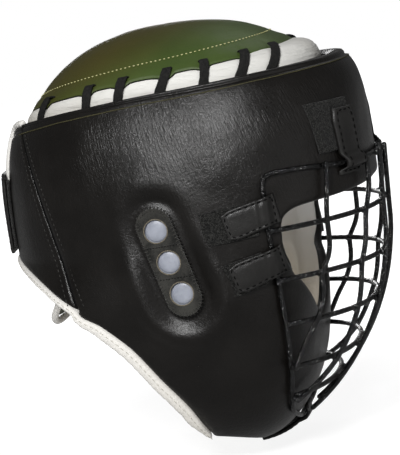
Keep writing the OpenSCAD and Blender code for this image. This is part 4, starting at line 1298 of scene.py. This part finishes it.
def crossBar(z):
    e = sideBarY(z)
    y1 = e * (1 - ((wires["d"] + 0.4) / (cageFront(z) - sideBarX(z))) ** 2 / 2) - 0.6
    reach = sideBarX(z) + wires["d"] + 0.15
    path = []
    for i in range(-48, 49):
        p = cagePoint(sind(90 * i / 48) * y1, z, 0)
        path.append((max(p[0], reach), p[1], p[2]))
    return path


def upright(y, endZ, spread):
    places = [(endZ, sideBarY(endZ) + lap)] + [(z, y + out) for z, out in spread] + [(wires["topZ"], y)]
    return [cagePoint(curved(z, places), z, lap) for z in steps(wires["topZ"] + 1 - topDip(y), endZ, 60)]


def drips(p):
    # the dip coat's small beads
    return 0.10 * noise.noise(p * 0.42) + 0.07 * noise.noise(p * 1.1)


def makeWire(name, paths, closed, *replaced):
    pieces = []
    for i, path in enumerate(paths):
        path = evenly(path, 1.7, closed)
        path = softened(path, 10 if closed else 4, closed)
        own = name if len(paths) == 1 else "%s_%d" % (name, i + 1)
        pieces.append(tube(own, path, wires["d"] / 2 - 0.03, closed, 12, drips))
        dress(pieces[-1], dipCoat, "dipped_wire", "cage", *(replaced if i == 0 else ()))
    return [evenly(p, 1.2) for p in paths]


def makeCage():
    half = rimHalf()
    rim = makeWire("rimWire", [half + mirrored(-1, half[-2:0:-1])], True, "cage_rim_wire")
    bars = []
    for i, z in enumerate(wires["bars"]):
        bars += makeWire("crossBar_%d" % (i + 1), [crossBar(z)], False, "cage_bar_%d" % (i + 1))
    top = wires["topZ"] + 1 - topDip(wires["middleY"])
    stays = []
    for name, path in (("middle", [cagePoint(wires["middleY"], z, lap) for z in steps(top, wires["middleEndZ"], 60)]),
                       ("inner", upright(wires["innerY"], wires["innerEndZ"], wires["innerSpread"])),
                       ("outer", upright(wires["outerY"], wires["outerEndZ"], wires["outerSpread"]))):
        stays += makeWire(name + "Upright", [path, mirrored(-1, path)], False, "cage_%s_uprights" % name)
    makeWelds(rim + bars, stays)


def makeWelds(under, over):
    # the dip coat's fillets where two wires touch
    verts, faces = [], []
    for low in under:
        for high in over:
            best = []
            for p in high:
                d, q = min((away(p, q), q) for q in low)
                if d < wires["weldReach"]:
                    best.append((d, p, q))
            while best:
                d, p, q = min(best)
                best = [b for b in best if away(b[1], p) > wires["weldApart"]]
                addBead(verts, faces, Vector(p), Vector(q))
    for low in under[1:]:
        for p in (low[0], low[-1]):
            q = min(under[0], key=lambda r: away(r, p))
            addBead(verts, faces, Vector(p), Vector(q))
    dress(solid("weldFillets", verts, faces), dipCoat, "dipped_wire", "cage")


def addBead(verts, faces, p, q, rings=6, sides=10):
    base, middle, long = len(verts), (p + q) / 2, wires["beadLong"]
    along = (q - p).normalized()
    across = along.orthogonal().normalized()
    out = across.cross(along)
    for h in (180 * r / rings for r in range(1, rings)):
        for f in (360 * k / sides for k in range(sides)):
            aside = wires["beadWide"] * sind(h) * (cosd(f) * across + sind(f) * out)
            verts.append((middle + along * long * cosd(h) + aside) * mm)
    verts += [(middle + along * long) * mm, (middle - along * long) * mm]
    tip, tail, last = len(verts) - 2, len(verts) - 1, base + (rings - 2) * sides
    for k in range(sides):
        j = (k + 1) % sides
        faces += [(tip, base + k, base + j), (tail, last + j, last + k)]
        faces += [(low + k, low + sides + k, low + sides + j, low + j) for low in range(base, last, sides)]


makeCage()
print("cage made")

# tabs and patches
tabs = dict(wide=20, thick=2.2, patch=1.7, gap=0.3, sideBack=27, front=7.5, foreUp=33, foreY=41.5, chinBack=34,
            corner=0.8, soft=0.35, softWide=2.2, groove=0.3, grooveAt=2.3, grooveWide=0.9, threadIn=1.8)
patchTop = tabs["gap"] + tabs["patch"]


def liftTable(rise, far):
    return [(-tabs["front"], tabs["gap"] + 0.05), (-5.4, tabs["gap"] + 0.05), (-2.3, rise - 0.35), (0, rise + 0.05),
            (2.3, rise - 0.35), (6.4, far + 0.05), (60, far + 0.05)]


def fromEdge(thick, q):
    # a padded strap's height at a distance inside its edge: a round corner, a stitched groove, a soft middle
    k = tabs
    groove = k["groove"] * math.exp(-((q - k["grooveAt"]) / k["grooveWide"]) ** 2)
    return thick - dip(q, k["corner"]) + k["soft"] * (1 - math.exp(-q / k["softWide"])) - groove


def strap(name, place, low, high, wide, lift, thick):
    # place takes along, across and lift
    insets = [0, 0.08, 0.25, 0.5, 0.9, 1.35, 1.8, 2.25, 2.8]
    stations = [low + q for q in insets] + steps(low + 3.6, high - 3.6, 44) + [high - q for q in insets[::-1]]
    columns = []
    for u in stations:
        half, end = wide(u), min(u - low, high - u)
        across = [-half + q for q in insets] + steps(-half + 4, half - 4, 8) + [half - q for q in insets[::-1]]
        top = []
        for v in across:
            crease = 0.12 * noise.noise(Vector(place(u, v, 0)) * 0.25)
            top.append(place(u, v, lift(u) + fromEdge(thick, min(end, half - abs(v))) + crease))
        under = lift(u) + 0.25 * (1 - min(1, end / tabs["corner"]))
        columns.append(top + [place(u, v, under) for v in (half - 0.25, half / 2, 0, -half / 2, 0.25 - half)])
    return surface(name, columns, loop=True, caps=True)


def tabLine(place, low, high, wide, lift, thick):
    # the stitched line in the groove
    inset = tabs["threadIn"]
    a, b = low + inset, high - inset

    def at(u, v):
        return place(u, v, lift(u) + fromEdge(thick, inset) + 0.02)

    line = [at(a, v) for v in steps(-wide(a) + inset, wide(a) - inset, 12)]
    line += [at(u, wide(u) - inset) for u in steps(a, b, 40)]
    line += [at(b, v) for v in steps(wide(b) - inset, -wide(b) + inset, 12)]
    return line + [at(u, -wide(u) + inset) for u in steps(b, a, 40)]


def onItsSide(place, side):
    return place if side > 0 else (lambda u, v, h: flip(place(u, v, h)))


def makeStrap(name, node, place, low, high, wide, lift, side):
    # a tab's node and its body have one name
    own = onItsSide(place, side)
    dress(strap(name, own, low, high, wide, lift, tabs["thick"]), sheenedStrapLeather, "black_leather", node, node)
    line = tabLine(own, low, high, wide, lift, tabs["thick"])
    dress(stitches(name + "Stitches", [line], 4.5, 2.9, 0.52, sink=0.1), darkThreadAndShade, "black_leather", node)


def makePatch(name, node, place, low, high, half, d, side, inset=1.2):
    own = onItsSide(place, side)

    def fuzzy(u, v, h):
        p = Vector(own(u, v, h))
        return own(u, v, h + (0.25 * noise.noise(p * 1.3) + 0.2 * noise.noise(p * 3.1) if h > d + 1 else 0))

    section = steps(-half, half, 30)
    columns = []
    for u in steps(low, high, 44):
        columns.append([fuzzy(u, v, d + tabs["patch"] - 0.1) for v in section] + [fuzzy(u, half, d + 0.8)]
                       + [fuzzy(u, v, d) for v in section[::-3]] + [fuzzy(u, -half, d + 0.8)])
    dress(surface(name, columns, loop=True, caps=True), loopPile, "loop_pile", "shell", node)
    a, b, c, top = low + inset, high - inset, half - inset, d + 1.75
    line = [own(a, v, top) for v in steps(-half + inset, c, 8)] + [own(u, c, top) for u in steps(a, b, 16)]
    line += [own(b, v, top) for v in steps(c, -half + inset, 8)]
    line += [own(u, -half + inset, top) for u in steps(b, a, 16)]
    dress(stitches(name + "Stitches", [line], 2.8, 1.9, 0.3, sink=0.0), greyThread, "loop_pile", "shell")


def sidePlace(z0, slope, extra):
    def place(u, v, h):
        shear = straight(u, [(-tabs["front"], 0.6), (-4.6, 0), (5.2, 0), (16, 1)])
        x = wires["sideX"] - u * cosd(slope) - v * sind(slope) * shear
        return onSide(x, z0 - u * sind(slope) + v * cosd(slope), -h - extra)
    return place


def sideWidth(u):
    return tabs["wide"] / 2 - 1.5 * ease((u - tabs["sideBack"] * 0.75) / (tabs["sideBack"] * 0.25))


rise = stand + wires["d"] / 2 + tabs["gap"]
sideLift = liftTable(rise, patchTop + tabs["gap"])
# height and slope of each tab and of its patch, how far the patch reaches back, and how far the pair stands off
sideLevels = [("upper", 20, 13, 17, 4, 42, 0), ("lower", -14, 15, -15, 12, 36, 0.7)]
for side, name in bothSides:
    for level, tabZ, tabSlope, patchZ, patchSlope, back, off in sideLevels:
        makeStrap("sideTab_%s_%s" % (level, name), "side_tab_%s_%s" % (level, name), sidePlace(tabZ, tabSlope, off),
                  -tabs["front"], tabs["sideBack"], sideWidth, lambda u: curved(u, sideLift), side)
    for level, tabZ, tabSlope, patchZ, patchSlope, back, off in sideLevels:
        makePatch("sidePatch_%s_%s" % (level, name), "side_patch_%s_%s" % (level, name),
                  sidePlace(patchZ, patchSlope, off), 6.4, back, 11, tabs["gap"], side)

fore = dict(half=tabs["wide"] * 0.84 / 2, patchWider=4.5, lift=1.3)
foreLift = liftTable(rise + fore["lift"], patchTop + tabs["gap"])


def forePlace(u, v, h):
    drop = wires["topDrop"] * (1 - ease((u - 2) / 12))
    return onFront(tabs["foreY"] + fore["half"] + v, wires["topZ"] + u - drop, -h)


def forePatchPlace(u, v, h):
    return onFront(tabs["foreY"] + fore["half"] + fore["patchWider"] + v, wires["topZ"] + u, -h)


for side, name in bothSides:
    makeStrap("foreheadTab_" + name, "forehead_tab_" + name, forePlace, -tabs["front"], tabs["foreUp"],
              lambda u: fore["half"] - 1.5 * ease((u - 24) / 9), lambda u: curved(u, foreLift), side)
    makePatch("foreheadPatch_" + name, "forehead_patch_" + name, forePatchPlace, 6, tabs["foreUp"] + 6,
              fore["half"] + fore["patchWider"], tabs["gap"], side)


def chinTable():
    # how far along the chin's middle line each rise angle is, from the bottom bar
    start = asind(wires["bottomZ"] / (form["chinZ"] + stand))
    rows = [(0.0, start)]
    for sign in (1, -1):
        w, run = start, 0.0
        while run < 46 and w > -88.4:
            run += away(shell(0, w - sign * 0.05, 0), shell(0, w, 0))
            w -= sign * 0.05
            rows.append((run * sign, w))
    return sorted(rows)


chinRows = chinTable()
chinLift = liftTable(rise, patchTop + 2 * tabs["gap"])


def chinPlace(u, v, h):
    return onFront(v, heightAt(straight(u, chinRows), -h), -h)


makeStrap("chinTab", "chin_tab", chinPlace, -tabs["front"], tabs["chinBack"] - 0.5,
          lambda u: tabs["wide"] / 2, lambda u: curved(u, chinLift), 1)
makePatch("chinPatch", "chin_patch", chinPlace, 6.4, tabs["chinBack"], tabs["wide"] / 2, tabs["gap"], 1)
print("tabs made")

# back closure and tongue
flap = dict(wide=72, low=6, top=62, off=0.55, taper=3, taperOver=7, patchIn=5)
flapLift = [(-60, patchTop + flap["off"]), (-2, patchTop + flap["off"]), (6, flap["off"]), (60, flap["off"])]
flapHalf = (flap["top"] - flap["low"]) / 2


def flapPlace(u, v, h):
    return onBack(u, (flap["top"] + flap["low"]) / 2 + v, -h)


def flapWidth(u):
    return flapHalf - flap["taper"] * ease((abs(u) - flap["wide"] / 2 + flap["taperOver"]) / flap["taperOver"])


makeStrap("rearFlap", "rear_flap", flapPlace, -flap["wide"] / 2, flap["wide"] / 2, flapWidth,
          lambda u: curved(u, flapLift), 1)
makePatch("rearPatch", "rear_patch", flapPlace, -flap["wide"] / 2 - 4, -4, flapHalf - flap["patchIn"],
          tabs["gap"], 1)

tongue = dict(wide=84, low=-44, top=48, thick=5, quilting=(-8, 20), quiltDeep=0.2, quiltWide=2.4, cord=2.5,
              cordDown=3.9, fill=0.6)
seamThread = dict(aside=2.7, pitch=3.6, length=2.4, radius=0.45)


def tongueDepth(z):
    return mix(insideD + 1.4, insideD - 8, ease((-z - 26) / 24))


def tongueLow(y):
    return tongue["low"] * (1 - 0.45 * (abs(y) / (tongue["wide"] / 2)) ** 3)


def makeTongue():
    k = tongue
    half, columns = k["wide"] / 2, []
    for y in steps(-half, half, 48):
        edge = ease((half - abs(y)) / 7)
        front, back = [], []
        for z in steps(tongueLow(y), k["top"], 40):
            tip = ease((z - tongueLow(y)) / 6) * ease((k["top"] - z) / 6)
            low, high = (k["quiltDeep"] * math.exp(-((z - q) / k["quiltWide"]) ** 2) for q in k["quilting"])
            fat = k["thick"] / 2 * (0.35 + 0.65 * edge * tip) * (0.97 - low - high)
            mid = tongueDepth(z) + k["thick"] / 2
            front.append(onBack(y, z, mid - fat))
            back.append(onBack(y, z, mid + fat))
        columns.append(front + back[::-1])
    piece = surface("neckTongue", columns, loop=True, caps=True)
    dress(piece, tongueLeather, "tongue_leather", "shell", "neck_tongue")
    path = []
    for y in steps(-half, half, 60):
        z = tongueLow(y) - k["cordDown"]
        path.append(onBack(y, z, tongueDepth(z) + k["thick"] / 2))
    edge = tube("tongueBinding", path, k["cord"], swell=lambda p: 0.12 * noise.noise(p * 0.5))
    dress(edge, bindingLeather, "white_leather", "shell", "tongue_binding")


def makeSeamStitches():
    k = seamThread
    lines = [mirrored(side, [shell(seamA(v) + aside, seamW(v), -0.02) for v in steps(0.03, 0.93, 60)])
             for side in (1, -1) for aside in (k["aside"], -k["aside"])]
    rows = stitches("seamStitches", lines, k["pitch"], k["length"], k["radius"], sink=0.15)
    dress(rows, greyThread, "black_leather", "shell")


makeTongue()
makeSeamStitches()
print("back made")

# floor, lamps and world


stage = dict(floorZ=-0.1535, floorHalf=4, white=0.9, nearLook=0.66, clearFrom=0.22, clearTo=0.6,
             cameraGlow=1.32, mirrorGlow=0.26, roomLight=0.13,
             lamps=[("keyLamp", (0.0, -1.83, 0.95), 0.42, 31), ("fillLamp", (1.65, -1.15, 0.1), 1.3, 3),
                    ("topLamp", (0.45, 1.05, 1.65), 0.8, 3.5), ("farLamp", (-0.5, 1.9, 0.15), 0.6, 4.5)])


def makeFloor():
    half, z = stage["floorHalf"], stage["floorZ"]
    floor = solid("paleFloor", [(-half, -half, z), (half, -half, z), (half, half, z), (-half, half, z)], [(0, 1, 2, 3)])
    paint = Finish("paleFloorPaint")
    paint.colour((stage["white"],) * 3)
    paint.rough(0.9)
    cameraRay, mirrorRay = paint.node("LightPath", out=0), paint.node("LightPath", out=3)
    farOut = paint.node("VectorMath", dict(operation="LENGTH"), {0: paint.spot}, out=1)
    clear = farOut.ramp(stage["clearFrom"], stage["clearTo"]) * (1 - stage["nearLook"]) + stage["nearLook"]
    seen = paint.node("Math", dict(operation="MAXIMUM"), {0: cameraRay * clear, 1: mirrorRay})
    light = paint.blend(cameraRay, (stage["mirrorGlow"],) * 3, (stage["cameraGlow"],) * 3)
    glow = paint.node("Emission", None, {"Color": light, "Strength": 1.0})
    paint.feed(paint.end.inputs[0], paint.node("MixShader", None, {0: seen, 1: paint.shader, 2: glow}))
    floor.data.materials.append(paint.material)


def makeRoom():
    world = bpy.data.worlds.new("softRoom")
    bpy.context.scene.world = world
    world.use_nodes = True
    room = Wiring(world.node_tree)
    cameraRay, throughRay = room.node("LightPath", out=0), room.node("LightPath", out=6)
    straightOn = room.node("Math", dict(operation="MAXIMUM"), {0: cameraRay, 1: throughRay})
    level = room.node("MapRange", None, {"Value": straightOn, "To Min": stage["roomLight"], "To Max": 1.0})
    room.node("OutputWorld", None, {0: room.node("Background", None, {"Color": (1, 1, 1), "Strength": level})})


def addLamp(name, place, size, power):
    data = bpy.data.lights.new(name, "AREA")
    data.shape, data.size, data.energy = "DISK", size, power
    lamp = bpy.data.objects.new(name, data)
    bpy.context.scene.collection.objects.link(lamp)
    lamp.location = place
    lamp.rotation_euler = (-Vector(place)).to_track_quat("-Z", "Y").to_euler()


makeFloor()
makeRoom()
for lamp in stage["lamps"]:
    addLamp(*lamp)
print("stage made")
